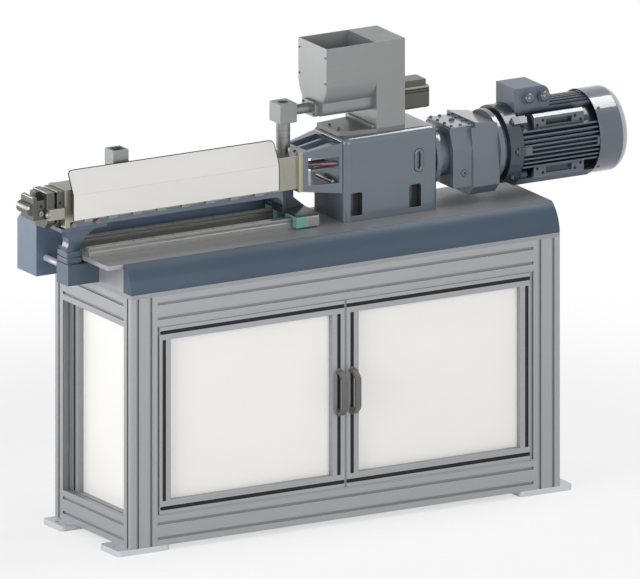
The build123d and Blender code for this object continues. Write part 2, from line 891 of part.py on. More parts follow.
def drive_shafts():
    x0 = lantern_left + lantern_wall
    x1 = gearbox_left - lantern_end_wall
    shafts = []
    for side in (-1, 1):
        y = side * shaft_spacing / 2
        shaft = rod_x(shaft_radius, x0, x1, y, screw_z)
        shafts.append(shaft + rod_x(sleeve_radius, x1 - sleeve_length, x1, y, screw_z))
    return shafts


pocket_x = (gearbox_left + pocket_margin, gearbox_left + pocket_margin + pocket_pitch)


def gearbox():
    half = gearbox_width / 2
    body = box(gearbox_left, gearbox_right, -half, half, bed_top, gearbox_top)
    body = fillet(body.edges().filter_by(Axis.Z), gearbox_round)
    body = fillet(body.faces().sort_by(Axis.Z)[-1].edges(), gearbox_top_round)
    for side in (-1, 1):
        for x in pocket_x:
            y0, y1 = sorted((side * (half - pocket_depth), side * (half + cut_over)))
            z = bed_top + pocket_lift + pocket_height / 2
            mouth = Rectangle(pocket_width, pocket_height)
            mouth = fillet(mouth.vertices().sort_by(Axis.Y)[-2:], pocket_round)
            body -= along_y(mouth, y0, y1, x + pocket_width / 2, z)
    slot = SlotOverall(sight_height, sight_width, rotation=90)
    sight_x = gearbox_right - sight_from_right
    return body - along_y(slot, -half - cut_over, -half + sight_recess, sight_x, bed_top + sight_lift)


def sight_glass():
    slot = SlotOverall(sight_height, sight_width, rotation=90)
    face = -gearbox_width / 2 + sight_recess
    x = gearbox_right - sight_from_right
    return along_y(slot, face - sight_glass_thickness, face, x, bed_top + sight_lift)


reducer_left = gearbox_right + coupling_length
reducer_split = reducer_left + reducer_front_length
reducer_right = reducer_split + reducer_rear_length
motor_left = reducer_right + motor_flange_length + motor_neck_length
fin_left = motor_left + motor_shield_length
fin_right = fin_left + motor_fin_length
tail_right = fin_right + motor_tail_length
fan_cover_left = tail_right - fan_cover_lap
fan_cover_end = fan_cover_left + fan_cover_length + fan_cover_dome
terminal_left = motor_left + terminal_offset
terminal_seat = drive_z + motor_core_radius


def coupling_housing():
    flange_end = gearbox_right + coupling_flange_length
    body = rod_x(coupling_flange_radius, gearbox_right, flange_end, 0, drive_z)
    body += rod_x(coupling_neck_radius, flange_end, reducer_left, 0, drive_z)
    return body


def reducer():
    """Two-part gear case: a lid over the joint, behind it a raised top that falls to the motor."""
    half = reducer_front_width / 2
    crown = half - reducer_taper
    front = make_face(Polyline((-half, -reducer_front_bottom), (half, -reducer_front_bottom),
                               (half, reducer_shoulder), (crown, reducer_front_top),
                               (-crown, reducer_front_top), (-half, reducer_shoulder), close=True))
    body = along_x(front, reducer_left, reducer_split, 0, drive_z)
    lid_left = reducer_left + reducer_lid_inset
    lid_bottom = drive_z + reducer_front_top
    half_lid = reducer_lid_width / 2
    lid = box(lid_left, lid_left + reducer_lid_length, -half_lid, half_lid,
              lid_bottom, lid_bottom + reducer_lid_height)
    half = reducer_rear_width / 2
    crown = half - reducer_rear_taper
    sole = half - reducer_rear_chamfer
    knee = reducer_rear_chamfer - reducer_rear_bottom
    rear = make_face(Polyline((-sole, -reducer_rear_bottom), (sole, -reducer_rear_bottom), (half, knee),
                              (half, -reducer_rear_shoulder), (crown, reducer_rear_top),
                              (-crown, reducer_rear_top), (-half, -reducer_rear_shoulder),
                              (-half, knee), close=True))
    top = drive_z + reducer_rear_top
    fall = make_face(Polyline((reducer_split, top), (reducer_right, top),
                              (reducer_right, top - reducer_fall), close=True))
    back = along_x(rear, reducer_split, reducer_right, 0, drive_z) - along_y(fall, -half, half)
    back -= box(reducer_split - cut_over, reducer_split + reducer_shelf, -half, half,
                lid_bottom, top + cut_over)
    return body + back + lid


def motor_flange():
    """Round adapter: a flange on the gear case and a neck to the motor."""
    flange_right = reducer_right + motor_flange_length
    body = rod_x(motor_flange_radius, reducer_right, flange_right, 0, drive_z)
    return body + rod_x(motor_neck_radius, flange_right, motor_left, 0, drive_z)


def fin_section():
    """Level fins on the sides and upright fins above and below, cut to one circle."""
    fins = []
    for index in range(motor_fin_rows):
        offset = (index - (motor_fin_rows - 1) / 2) * motor_fin_pitch
        reach = math.sqrt(motor_fin_radius ** 2 - offset ** 2)
        fins.append(Pos(0, offset) * Rectangle(2 * reach, motor_fin_thickness))
        fins.append(Pos(offset, 0) * Rectangle(motor_fin_thickness, 2 * reach))
    return Sketch() + fins


def motor_pads():
    """Four foot plates beside the fins, each with a pocket between its two pads."""
    middle = (fin_left + fin_right) / 2
    x0 = middle - (motor_pad_spacing + motor_pad_length) / 2
    x1 = middle + (motor_pad_spacing + motor_pad_length) / 2
    inner = motor_core_radius / 2
    floor = motor_pad_reach - motor_pad_slot_depth
    pads = []
    for sy in (-1, 1):
        for sz in (-1, 1):
            z = drive_z + sz * motor_pad_offset
            y0, y1 = sorted((sy * inner, sy * motor_pad_reach))
            pad = box(x0, x1, y0, y1, z - motor_pad_height / 2, z + motor_pad_height / 2)
            y0, y1 = sorted((sy * floor, sy * (motor_pad_reach + cut_over)))
            pads.append(pad - box(x0 + motor_pad_length, x1 - motor_pad_length, y0, y1,
                                  z - motor_pad_slot / 2, z + motor_pad_slot / 2))
    return pads


def motor_body():
    """Stator housing: shield with bolt lugs, finned barrel, foot plates, base and tail."""
    body = rod_x(motor_shield_radius, motor_left, fin_left, 0, drive_z)
    body += rod_x(motor_core_radius, fin_left, tail_right, 0, drive_z)
    body += along_x(fin_section(), fin_left, fin_right, 0, drive_z)
    lug = Pos(motor_shield_radius, 0) * Rectangle(motor_lug_height, motor_lug_width)
    lugs = Sketch() + [Rotation(0, 0, angle) * lug for angle in (0, 45, 135, 180, 225, 315)]
    lug_right = fin_left + motor_lug_length / 2
    body += along_x(lugs, lug_right - motor_lug_length, lug_right, 0, drive_z)
    ear_reach = math.sqrt((fan_cover_radius - fan_cover_wall) ** 2 - (motor_lug_width / 2) ** 2)
    ears = Sketch() + [Rectangle(2 * ear_reach, motor_lug_width), Rectangle(motor_lug_width, 2 * ear_reach)]
    body += along_x(ears, fan_cover_left - fan_cover_lap / 2, tail_right, 0, drive_z)
    for pad in motor_pads():
        body += pad
    knee = -motor_pad_offset - motor_pad_height / 2
    half = motor_base_width / 2
    base = make_face(Polyline((-motor_pad_reach, knee), (-half, -motor_fin_radius),
                              (half, -motor_fin_radius), (motor_pad_reach, knee), close=True))
    body += along_x(base, fin_left, fan_cover_left - fan_cover_wall, 0, drive_z)
    half = terminal_width / 2
    return body - box(terminal_left, terminal_left + terminal_length, -half, half,
                      terminal_seat, terminal_seat + motor_fin_radius)


def terminal_box():
    right = terminal_left + terminal_length
    half = terminal_width / 2
    body = box(terminal_left, right, -half, half, terminal_seat, terminal_seat + terminal_height)
    top_edges = body.edges().filter_by(Axis.Y).sort_by(Axis.Z)[-2:]
    body = fillet(top_edges.sort_by(Axis.X)[-1:], terminal_round)
    for index in range(2):
        x = terminal_left + gland_offset + index * gland_spacing
        plug = RegularPolygon(gland_radius, 6)
        body += along_y(plug, -half - gland_length, -half, x, terminal_seat + gland_height)
    return body


def fan_cover():
    """Sheet cowl over the fan: open towards the fins, with radial slots in its end."""
    radius = fan_cover_radius
    wall = fan_cover_wall
    length = fan_cover_length
    end = length + fan_cover_dome
    crown = radius - fan_cover_shoulder
    outline = Polyline((0, radius), (length, radius), (length + fan_cover_rim, radius - fan_cover_rim),
                       (end, crown), (end, 0), (end - wall, 0), (end - wall, crown - wall),
                       (length, radius - wall), (0, radius - wall), close=True)
    plane = Plane((fan_cover_left, 0, drive_z), x_dir=(1, 0, 0), z_dir=(0, -1, 0))
    cowl = revolve(plane * make_face(outline), Axis((fan_cover_left, 0, drive_z), (1, 0, 0)))
    slot_length = fan_slot_outer - fan_slot_inner
    slot = Pos(fan_slot_inner + slot_length / 2, 0) * Rectangle(slot_length, fan_slot_width)
    slots = Sketch() + [Rotation(0, 0, 360.0 * index / fan_slot_count) * slot
                        for index in range(fan_slot_count)]
    return cowl - along_x(slots, fan_cover_end - 2 * wall, fan_cover_end + wall, 0, drive_z)


def cooling_fan():
    """Hub on the motor shaft with straight radial blades."""
    right = tail_right + fan_blade_length
    fan = rod_x(fan_hub_radius, tail_right, right, 0, drive_z)
    span = fan_blade_radius - fan_hub_radius / 2
    blade = Pos(fan_blade_radius - span / 2, 0) * Rectangle(span, fan_blade_thickness)
    blades = Sketch() + [Rotation(0, 0, 360.0 * index / fan_blade_count) * blade
                         for index in range(fan_blade_count)]
    return fan + along_x(blades, tail_right + fan_blade_thickness, right, 0, drive_z)


os.makedirs("parts", exist_ok=True)
save("foot_plates", *foot_plates())
save("corner_posts", *corner_posts())
save("top_rails", *frame_rails(top_rail_bottom))
save("bottom_rails", *frame_rails(bottom_rail_bottom))
save("panel_stiles", *panel_stiles())
save("fixed_panels", *fixed_panels())
save("cabinet_floor", cabinet_floor())
for side, name in ((-1, "left"), (1, "right")):
    save(name + "_door_frame", door_bars(side))
    save(name + "_door_panel", door_panel(side))
    save(name + "_door_handle", door_handle(side))
save("door_pivots", *door_pivots())
save("table_plate", table_plate())
save("bed_frame", bed_frame())
save("bed_plate", bed_plate())
save("front_apron", front_apron())
save("rear_duct", rear_duct())
save("guide_rails", *guide_rails())
cap_right = carriage_left + carriage_cap_length
save("carriage_caps", *carriage_blocks(carriage_left, cap_right))
save("rail_carriages", *carriage_blocks(cap_right, cap_right + carriage_length))
save("rear_support", rear_support())
save("bed_bracket", bed_bracket())
save("front_pedestal", front_pedestal())
save("barrel_beam", barrel_beam())
save("barrel", barrel())
save("feed_block", feed_block())
save("barrel_cover", *barrel_cover())
save("vent_stack", vent_stack())
save("die_adapter", die_adapter())
save("die_clamp", die_clamp())
save("die_head", die_head())
save("feed_pipe", feed_pipe())
save("outlet_block", outlet_block())
save("feeder_tube", feeder_tube())
save("feeder_hopper", feeder_hopper())
save("drive_housing", drive_housing())
save("feeder_base", feeder_base())
save("feeder_motor", feeder_motor())
save("lantern", lantern())
save("drive_shafts", *drive_shafts())
save("gearbox", gearbox())
save("sight_glass", sight_glass())
save("coupling_housing", coupling_housing())
save("reducer", reducer())
save("motor_flange", motor_flange())
save("motor_body", motor_body())
save("terminal_box", terminal_box())
save("fan_cover", fan_cover())
save("cooling_fan", cooling_fan())
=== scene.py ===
import math

import bmesh
import bpy
import numpy as np
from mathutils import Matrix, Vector


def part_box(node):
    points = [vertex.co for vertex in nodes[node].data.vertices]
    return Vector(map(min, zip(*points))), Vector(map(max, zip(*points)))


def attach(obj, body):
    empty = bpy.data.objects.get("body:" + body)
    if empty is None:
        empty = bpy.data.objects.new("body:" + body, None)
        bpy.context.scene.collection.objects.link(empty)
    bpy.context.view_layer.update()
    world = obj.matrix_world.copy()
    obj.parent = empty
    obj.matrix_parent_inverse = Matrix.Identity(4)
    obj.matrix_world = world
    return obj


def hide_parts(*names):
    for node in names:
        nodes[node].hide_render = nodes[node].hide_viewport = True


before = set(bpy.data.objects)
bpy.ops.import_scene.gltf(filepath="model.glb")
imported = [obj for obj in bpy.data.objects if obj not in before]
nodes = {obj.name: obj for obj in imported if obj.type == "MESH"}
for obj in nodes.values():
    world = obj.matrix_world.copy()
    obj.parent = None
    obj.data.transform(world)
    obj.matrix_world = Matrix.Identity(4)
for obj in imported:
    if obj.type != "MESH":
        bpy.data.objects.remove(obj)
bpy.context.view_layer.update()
mm = 0.001
driveHeight = 911 * mm  # of the shaft line through gearbox and motor
print("frame loaded,", len(nodes), "nodes")


# lowest and highest corner of a node, in metres
def span(node):
    low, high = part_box(node)
    return np.array(low), np.array(high)


# one output of a shader node: + - * and abs on wires and numbers add Math nodes
class Wire:
    def __init__(self, tree, socket=None):
        self.tree = tree
        self.socket = socket

    # adds any node: its settings first, then numbers or wires on its sockets
    def node(self, kind, settings=None, sockets=None, output=0):
        made = self.tree.nodes.new(kind)
        for name, value in (settings or {}).items():
            setattr(made, name, value)
        for name, value in (sockets or {}).items():
            if isinstance(value, Wire):
                self.tree.links.new(value.socket, made.inputs[name])
            else:
                made.inputs[name].default_value = value
        return Wire(self.tree, made.outputs[output] if made.outputs else None)

    # one Math node on two wires or numbers
    def maths(self, operation, first, second=0.0):
        return self.node("ShaderNodeMath", {"operation": operation}, {0: first, 1: second})

    def __add__(self, other):
        return self.maths("ADD", self, other)

    def __sub__(self, other):
        return self.maths("SUBTRACT", self, other)

    def __rsub__(self, other):
        return self.maths("SUBTRACT", other, self)

    def __mul__(self, other):
        return self.maths("MULTIPLY", self, other)

    __radd__ = __add__
    __rmul__ = __mul__

    def __abs__(self):
        return self.maths("ABSOLUTE", self)

    # 0 below low, 1 above high, smooth between
    def step(self, low, high):
        return self.node("ShaderNodeMapRange", {"interpolation_type": "SMOOTHSTEP"},
                         {"Value": self, "From Min": low, "From Max": high})

    # the wire is the share of the second colour
    def blend(self, first, second):
        return self.node("ShaderNodeMix", {"data_type": "RGBA"}, {0: self, 6: first, 7: second}, 2)


# each part of a colour times the factor, with alpha 1
def rgb(colour, factor=1.0):
    return tuple(part * factor for part in colour) + (1.0,)


# a new material's tree, read from the object's own coordinates in metres
def openFinish(name):
    material = bpy.data.materials.new(name)
    material.use_nodes = True
    material.node_tree.nodes.clear()
    return material, Wire(material.node_tree).node("ShaderNodeTexCoord", output="Object")


# the shader with these sockets, joined to the material's output
def closeFinish(material, place, sockets):
    shader = place.node("ShaderNodeBsdfPrincipled", None, sockets)
    place.node("ShaderNodeOutputMaterial", None, {"Surface": shader})
    return material


# soft noise from 0 to 1, with this many cycles to a metre
def cloudy(place, scale, detail=2.0):
    return place.node("ShaderNodeTexNoise", None, {"Vector": place, "Scale": scale, "Detail": detail})


# normals averaged within a small radius, which rounds the edges in the light
def softEdges(place, radius):
    return place.node("ShaderNodeBevel", {"samples": 6}, {"Radius": radius})


# 1 on edges and 0 on open faces: how far the rounded normal leans from the true one
def edgeMask(place, rounded, lean=(0.02, 0.25)):
    true = place.node("ShaderNodeNewGeometry", output="Normal")
    dot = place.node("ShaderNodeVectorMath", {"operation": "DOT_PRODUCT"}, {0: rounded, 1: true}, "Value")
    return (1 - dot).step(*lean)


# the rounded normal raised by a height that varies over the surface
def bumped(place, height, rounded, strength, deep):
    return place.node("ShaderNodeBump", None, {"Strength": strength, "Distance": deep, "Height": height,
                                               "Normal": rounded})


# 1 inside a box in millimetres and 0 outside, alike at both signs of Y:
# the largest of the distances from its middle, each over its half side
def within(place, low, high, rim=0.98):
    low, high = np.array(low) * mm, np.array(high) * mm
    shares = []
    for axis, middle, half in zip("XYZ", (low + high) / 2, (high - low) / 2):
        wire = place.node("ShaderNodeSeparateXYZ", None, {"Vector": place}, axis)
        if axis == "Y":
            wire = abs(wire)
        shares.append(abs(wire - float(middle)) * float(1 / half))
    largest = place.maths("MAXIMUM", place.maths("MAXIMUM", shares[0], shares[1]), shares[2])
    return 1 - largest.step(rim, 1.0)


# each patch is a box in millimetres and the colour inside it
def patched(place, tone, patches):
    for low, high, colour in patches:
        tone = within(place, low, high).blend(tone, rgb(colour))
    return tone


# paint: two tones in wide clouds, paler on the edges, partly as wear and partly as a painted highlight, with
# a fine orange peel;
# painted shade between the fins, where the distance from the drive line is short, and without gloss inside
# the matt box
def paintFinish(name, look):
    material, place = openFinish(name)
    rounded = softEdges(place, look["edge"])
    clouds = cloudy(place, look["cloudScale"])
    # edges paler: partly wear, partly a painted highlight
    edges = edgeMask(place, rounded) * look["wearAndGlint"]
    tone = clouds.step(*look["cloudStep"]).blend(rgb(look["colour"]), rgb(look["colour"], look["deeper"]))
    tone = edges.blend(patched(place, tone, look.get("patches", [])), rgb(look["wornAndLit"]))
    # painted shade between the fins: darker where the distance from the drive line is short
    if "finRadius" in look:
        flat = place.node("ShaderNodeVectorMath", {"operation": "MULTIPLY_ADD"},
                          {0: place, 1: (0, 1, 1), 2: (0, 0, -driveHeight)}, "Vector")
        reach = flat.node("ShaderNodeVectorMath", {"operation": "LENGTH"}, {0: flat}, "Value")
        tone = reach.step(*look["finRadius"]).blend(rgb(look["finGapShade"]), tone)
    peel = cloudy(place, look["peelScale"], 3.0)
    rough = clouds * look["roughSpread"] + (look["rough"] - look["roughSpread"] / 2)
    coat = look["coat"]
    if "matt" in look:
        matt = within(place, *look["matt"])
        rough = rough + matt * look["mattRough"]
        coat = (1 - matt) * coat
    return closeFinish(material, place, {
        "Base Color": tone, "Roughness": rough, "Coat Weight": coat, "Coat Roughness": look["coatRough"],
        "Specular IOR Level": look["shine"],
        "Normal": bumped(place, peel, rounded, look["peel"], look["peelDeep"])})


# metal: fine lines drawn out along one axis, in the colour, the gloss and the surface
def metalFinish(name, look):
    material, place = openFinish(name)
    rounded = softEdges(place, look["edge"])
    drawn = place.node("ShaderNodeMapping", None, {"Vector": place, "Scale": look["grain"]})
    lines = cloudy(drawn, 1.0, 3.0)
    clouds = cloudy(place, look["cloudScale"])
    darker = 1 - lines.step(*look["lineStep"]) * (1 - look["deeper"])
    grey = place.node("ShaderNodeCombineColor", None, {"Red": darker, "Green": darker, "Blue": darker})
    tone = patched(place, rgb(look["colour"]), look.get("patches", []))
    tone = place.node("ShaderNodeMix", {"data_type": "RGBA", "blend_type": "MULTIPLY"},
                      {0: 1.0, 6: tone, 7: grey}, 2)
    # edges paler: partly wear, partly a painted highlight
    edges = edgeMask(place, rounded) * look["wearAndGlint"]
    rough = lines * look["lineRough"] + clouds * look["cloudRough"] + (look["rough"] - look["roughShift"])
    return closeFinish(material, place, {
        "Base Color": edges.blend(tone, rgb(look["wornAndLit"])), "Metallic": look["metal"], "Roughness": rough,
        "Normal": bumped(place, lines, rounded, look["groove"], look["grooveDeep"])})


# moulded plastic or rubber: a fine pebbled grain and a little unevenness in tone
def plasticFinish(name, look):
    material, place = openFinish(name)
    rounded = softEdges(place, look["edge"])
    grain = place.node("ShaderNodeTexVoronoi", None, {"Vector": place, "Scale": look["grainScale"]})
    clouds = cloudy(place, look["cloudScale"])
    tone = clouds.step(*look["cloudStep"]).blend(rgb(look["colour"]), rgb(look["colour"], look["deeper"]))
    rough = clouds * look["roughSpread"] + (look["rough"] - look["roughSpread"] / 2)
    return closeFinish(material, place, {
        "Base Color": tone, "Roughness": rough, "Specular IOR Level": look["shine"],
        "Normal": bumped(place, grain, rounded, look["pebble"], look["pebbleDeep"])})


# sight glass: dark oil up to a slightly uneven level, and a dark inside over it, under a clear coat
def glassFinish(name, look):
    material, place = openFinish(name)
    height = place.node("ShaderNodeSeparateXYZ", None, {"Vector": place}, "Z")
    film = cloudy(place, look["filmScale"])
    blur = look["blur"]
    level = (height + film * blur).step(look["oilLevel"] - blur, look["oilLevel"] + blur)
    return closeFinish(material, place, {
        "Base Color": level.blend(rgb(look["oil"]), rgb(look["above"])),
        "Roughness": film * look["filmRough"] + look["rough"],
        "Coat Weight": 1.0, "Coat Roughness": look["coatRough"]})


# painted finishes; a patch is the low and high corner of a box in millimetres, and its tone
# the paler edge tone and its share stand partly for wear and partly for a painted highlight
paintLook = {"colour": (0.060, 0.089, 0.126), "deeper": 0.93, "cloudScale": 5.0, "cloudStep": (0.35, 0.65),
             "wornAndLit": (0.26, 0.31, 0.36), "wearAndGlint": 0.3, "edge": 2.5 * mm, "rough": 0.32, "roughSpread": 0.12,
             "coat": 0.5, "coatRough": 0.06, "shine": 0.4, "peelScale": 420.0, "peel": 0.03,
             "peelDeep": 0.4 * mm}
apronLook = dict(paintLook, colour=(0.059, 0.086, 0.121), coat=0.0, shine=0.15)
# the duct, the beam and the terminal box get paler copies of the grey-blue paint: painted light
ductLitLook = dict(paintLook, colour=(0.107, 0.151, 0.213))
beamLitLook = dict(paintLook, colour=(0.108, 0.146, 0.193))
# the rear support gets a near-black copy of the grey-blue paint: painted shade
supportShadeLook = dict(paintLook, colour=(0.020, 0.028, 0.040), coat=0.2, wearAndGlint=0.15)
boxLitLook = dict(paintLook, colour=(0.125, 0.155, 0.198), edge=2.0 * mm, coat=0.1, shine=0.2)
feederMotorLook = dict(paintLook, colour=(0.075, 0.072, 0.058), wornAndLit=(0.2, 0.2, 0.18), edge=2.0 * mm,
                       coat=0.2)

barePin = ((-800, 31.5, 700), (-600, 250, 800), (0.42, 0.42, 0.47))
bracketLook = dict(paintLook, patches=[barePin])

# painted shade in the gearbox's two pockets, painted light on the inside of the lantern, and a painted
# reflection on the top of the reducer's lid
pocketShade, lanternInsideLight, lidReflection = (0.016, 0.021, 0.028), (0.100, 0.145, 0.195), (0.220, 0.275, 0.335)
castLook = dict(paintLook, colour=(0.087, 0.113, 0.141), peelScale=260.0, edge=3.0 * mm, coat=0.9,
                coatRough=0.04,
                patches=[((80, 58, 797), (118, 85.2, 861), pocketShade),
                         ((258, 58, 797), (296, 85.2, 861), pocketShade),
                         ((-31, -2, 889.5), (12, 51, 990), lanternInsideLight),
                         ((10, -2, 889.5), (54, 63, 990), lanternInsideLight),
                         ((398, -2, 989), (466, 62, 993), lidReflection)])

finBox, finTone = ((598, -2, 700), (850, 150, 1200)), (0.078, 0.105, 0.134)
footBox, footTone = ((596, -2, 790), (826, 86, 829.5)), (0.085, 0.105, 0.125)
# the motor: its darker tone between the fins is painted shade
motorLook = dict(paintLook, colour=(0.028, 0.040, 0.058), peelScale=300.0, peel=0.02, edge=1.2 * mm,
                 coat=0.45, patches=[(*finBox, finTone), (*footBox, footTone)], matt=footBox, mattRough=0.5,
                 finGapShade=(0.009, 0.013, 0.019), finRadius=(98 * mm, 106 * mm))
# the rounded rim and end of the fan cowl paler: a paler end, partly a painted reflection on the rim
cowlEndPaleAndSheen = ((893, -2, 700), (930, 150, 1200), (0.33, 0.35, 0.385))
cowlLook = dict(paintLook, colour=(0.060, 0.084, 0.112), peel=0.0, edge=0.6 * mm, wearAndGlint=0.1, coat=1.0,
                coatRough=0.03, patches=[cowlEndPaleAndSheen])

panelLook = dict(paintLook, colour=(0.80, 0.79, 0.765), deeper=0.985, wornAndLit=(0.86, 0.86, 0.85), edge=1.0 * mm,
                 cloudScale=3.0, rough=0.42, coat=0.1, coatRough=0.12, peelScale=500.0)
# painted shade along the fold of the guard's sheet
foldCreaseShade = ((-800, -2, 960.3), (0, 120, 962.1), (0.57, 0.565, 0.55))
guardLook = dict(panelLook, colour=(0.66, 0.655, 0.635), edge=1.5 * mm, rough=0.38, patches=[foldCreaseShade])

# metal finishes; grain is the number of lines to a metre along each axis
levelGrain, evenGrain = (5.0, 900.0, 900.0), (300.0, 300.0, 300.0)
# the paler edge tone and its share stand partly for wear and partly for a painted highlight
profileLook = {"colour": (0.325, 0.330, 0.347), "deeper": 0.92, "lineStep": (0.3, 0.7),
               "wornAndLit": (0.60, 0.60, 0.62), "wearAndGlint": 0.5, "edge": 1.2 * mm, "metal": 0.45, "rough": 0.42,
               "roughShift": 0.12, "lineRough": 0.15, "cloudRough": 0.1, "cloudScale": 9.0, "groove": 0.05,
               "grooveDeep": 0.3 * mm, "grain": (900.0, 900.0, 5.0)}
slotShade = {"out": 0.6, "deep": 4.5, "ledge": 1.0, "module": 40.0, "past": 20.0, "share": 0.66}


# painted shade in the slots: thin boxes behind the outer faces of posts and rails, where only the slots
# reach, darker by the share;
# one for front and back, and on each side one for the posts and two for the rails, which leave out the tops
# of the lower rails
def slotShadePatches(look):
    tone = np.array(look["colour"]) * slotShade["share"]
    x, y, top = span("corner_posts")[1] / mm + [-slotShade["out"], -slotShade["out"], slotShade["past"]]
    lower = span("bottom_rails")[1][2] / mm - slotShade["ledge"]
    upper = span("top_rails")[0][2] / mm + slotShade["ledge"]
    beside = y - slotShade["module"]
    deep = slotShade["deep"] - slotShade["out"]
    bottom = -slotShade["past"]
    boxes = [((-x, y - deep, bottom), (x, y, top), tone)]
    for left, right in ((-x, deep - x), (x - deep, x)):
        boxes.append(((left, beside, bottom), (right, y, top), tone))
        boxes.append(((left, -2, bottom), (right, beside, lower), tone))
        boxes.append(((left, -2, upper), (right, beside, top), tone))
    return boxes


postLook = dict(profileLook, patches=slotShadePatches(profileLook))
plateLook = dict(profileLook, colour=(0.31, 0.313, 0.325), grain=(5.0, 700.0, 700.0), edge=1.5 * mm)
tableLook = dict(plateLook, colour=(0.270, 0.273, 0.285))
footLook = dict(plateLook, colour=(0.55, 0.555, 0.59))

steelTone = (0.30, 0.285, 0.235)
steelLook = dict(profileLook, colour=steelTone, deeper=0.86, wornAndLit=(0.70, 0.68, 0.62), wearAndGlint=0.85,
                 edge=2.2 * mm, rough=0.36, groove=0.08, grain=(500.0, 500.0, 40.0))
fittings = ((-730, 47, 880), (-130, 70, 901), (0.225, 0.24, 0.225))
barrelLook = dict(steelLook, patches=[fittings])
tieBars = ((-813, 39, 880), (-740, 70, 945), steelTone)
dieLook = dict(steelLook, colour=(0.082, 0.082, 0.070), wornAndLit=(0.62, 0.61, 0.57), wearAndGlint=0.6, edge=1.4 * mm,
               rough=0.3, patches=[tieBars])
brassEnd = ((-57, -2, 800), (-40, 90, 1100), (0.33, 0.33, 0.20))
feedLook = dict(steelLook, patches=[brassEnd])

stainlessLook = dict(profileLook, colour=(0.215, 0.222, 0.223), deeper=0.955, wornAndLit=(0.45, 0.45, 0.45),
                     wearAndGlint=0.2, edge=1.0 * mm, metal=0.4, rough=0.36, groove=0.02, grain=(9.0, 700.0, 700.0))
baseLook = dict(stainlessLook, colour=(0.130, 0.134, 0.134))
# painted light on the inside of the hopper's mouth
hopperMouthLight = {"halfWall": 1.5, "deep": 100.0, "lip": 0.5, "tone": (0.376, 0.389, 0.402)}
hopperLow, hopperHigh = np.array(span("feeder_hopper")) / mm
mouthLow = (hopperLow[0] + hopperMouthLight["halfWall"], -2, hopperHigh[2] - hopperMouthLight["deep"])
mouthHigh = hopperHigh - [hopperMouthLight["halfWall"], hopperMouthLight["halfWall"], hopperMouthLight["lip"]]
hopperLook = dict(stainlessLook, patches=[(mouthLow, mouthHigh, hopperMouthLight["tone"])])

groundLook = dict(profileLook, colour=(0.26, 0.26, 0.245), deeper=0.85, wornAndLit=(0.7, 0.7, 0.68), wearAndGlint=0.8,
                  edge=1.0 * mm, metal=0.6, rough=0.3, groove=0.04, grain=(4.0, 800.0, 800.0))
boltLook = dict(groundLook, colour=(0.09, 0.09, 0.09), metal=0.5, edge=0.6 * mm, grain=evenGrain)
# a pale steel for the strips that are painted highlights on the die's edges
edgeHighlightLook = dict(groundLook, colour=(0.55, 0.55, 0.53), metal=0.7, edge=0.8 * mm, grain=evenGrain)
copperLook = dict(groundLook, colour=(0.190, 0.155, 0.178), metal=0.2, wearAndGlint=0.3, edge=0.8 * mm,
                  grain=evenGrain)
redEnd = ((3, -2, 900), (60, 90, 960), (0.20, 0.092, 0.108))
shaftLook = dict(groundLook, colour=(0.10, 0.10, 0.10), metal=0.4, patches=[redEnd])

# moulded finishes and the sight glass
tealLook = {"colour": (0.15, 0.33, 0.29), "deeper": 0.9, "cloudScale": 14.0, "cloudStep": (0.3, 0.7),
            "edge": 1.0 * mm, "rough": 0.4, "roughSpread": 0.14, "shine": 0.4, "grainScale": 900.0,
            "pebble": 0.05, "pebbleDeep": 0.3 * mm}
# black rubber, also used for dark pieces that are painted shade in holes, grooves and along edges
blackRubberAndShadeLook = dict(tealLook, colour=(0.016, 0.016, 0.018), deeper=0.8, edge=0.6 * mm, rough=0.5, shine=0.15,
                 grainScale=1200.0, pebble=0.08)
handleLook = dict(blackRubberAndShadeLook, colour=(0.12, 0.12, 0.113), edge=1.5 * mm, shine=0.4)
glassLook = {"oil": (0.010, 0.010, 0.009), "above": (0.022, 0.025, 0.027), "oilLevel": 925 * mm,
             "blur": 4 * mm, "filmScale": 60.0, "filmRough": 0.05, "rough": 0.04, "coatRough": 0.03}

paints = {"enamel": paintLook, "apronPaint": apronLook, "bracketPaint": bracketLook, "beamLitPaint": beamLitLook,
          "ductLitPaint": ductLitLook, "supportShadedPaint": supportShadeLook, "castPaint": castLook, "motorPaint": motorLook,
          "cowlPaint": cowlLook, "boxLitPaint": boxLitLook, "feederMotorPaint": feederMotorLook,
          "panelWhite": panelLook, "guardSheet": guardLook}
metals = {"uprightProfile": profileLook, "levelProfile": dict(profileLook, grain=levelGrain),
          "postProfile": postLook, "railProfile": dict(postLook, grain=levelGrain), "plate": plateLook,
          "tablePlate": tableLook, "footPlate": footLook, "barrelSteel": barrelLook, "dieSteel": dieLook,
          "feedSteel": feedLook, "stainless": stainlessLook, "hopperSteel": hopperLook, "basePlate": baseLook,
          "railSteel": groundLook, "boltSteel": boltLook, "edgeHighlightSteel": edgeHighlightLook, "copperPin": copperLook,
          "redShaft": shaftLook}
plastics = {"tealCap": tealLook, "blackRubberAndShade": blackRubberAndShadeLook, "handlePlastic": handleLook}
finishes = {name: paintFinish(name, look) for name, look in paints.items()}
finishes.update({name: metalFinish(name, look) for name, look in metals.items()})
finishes.update({name: plasticFinish(name, look) for name, look in plastics.items()})
finishes["oilGlass"] = glassFinish("oilGlass", glassLook)

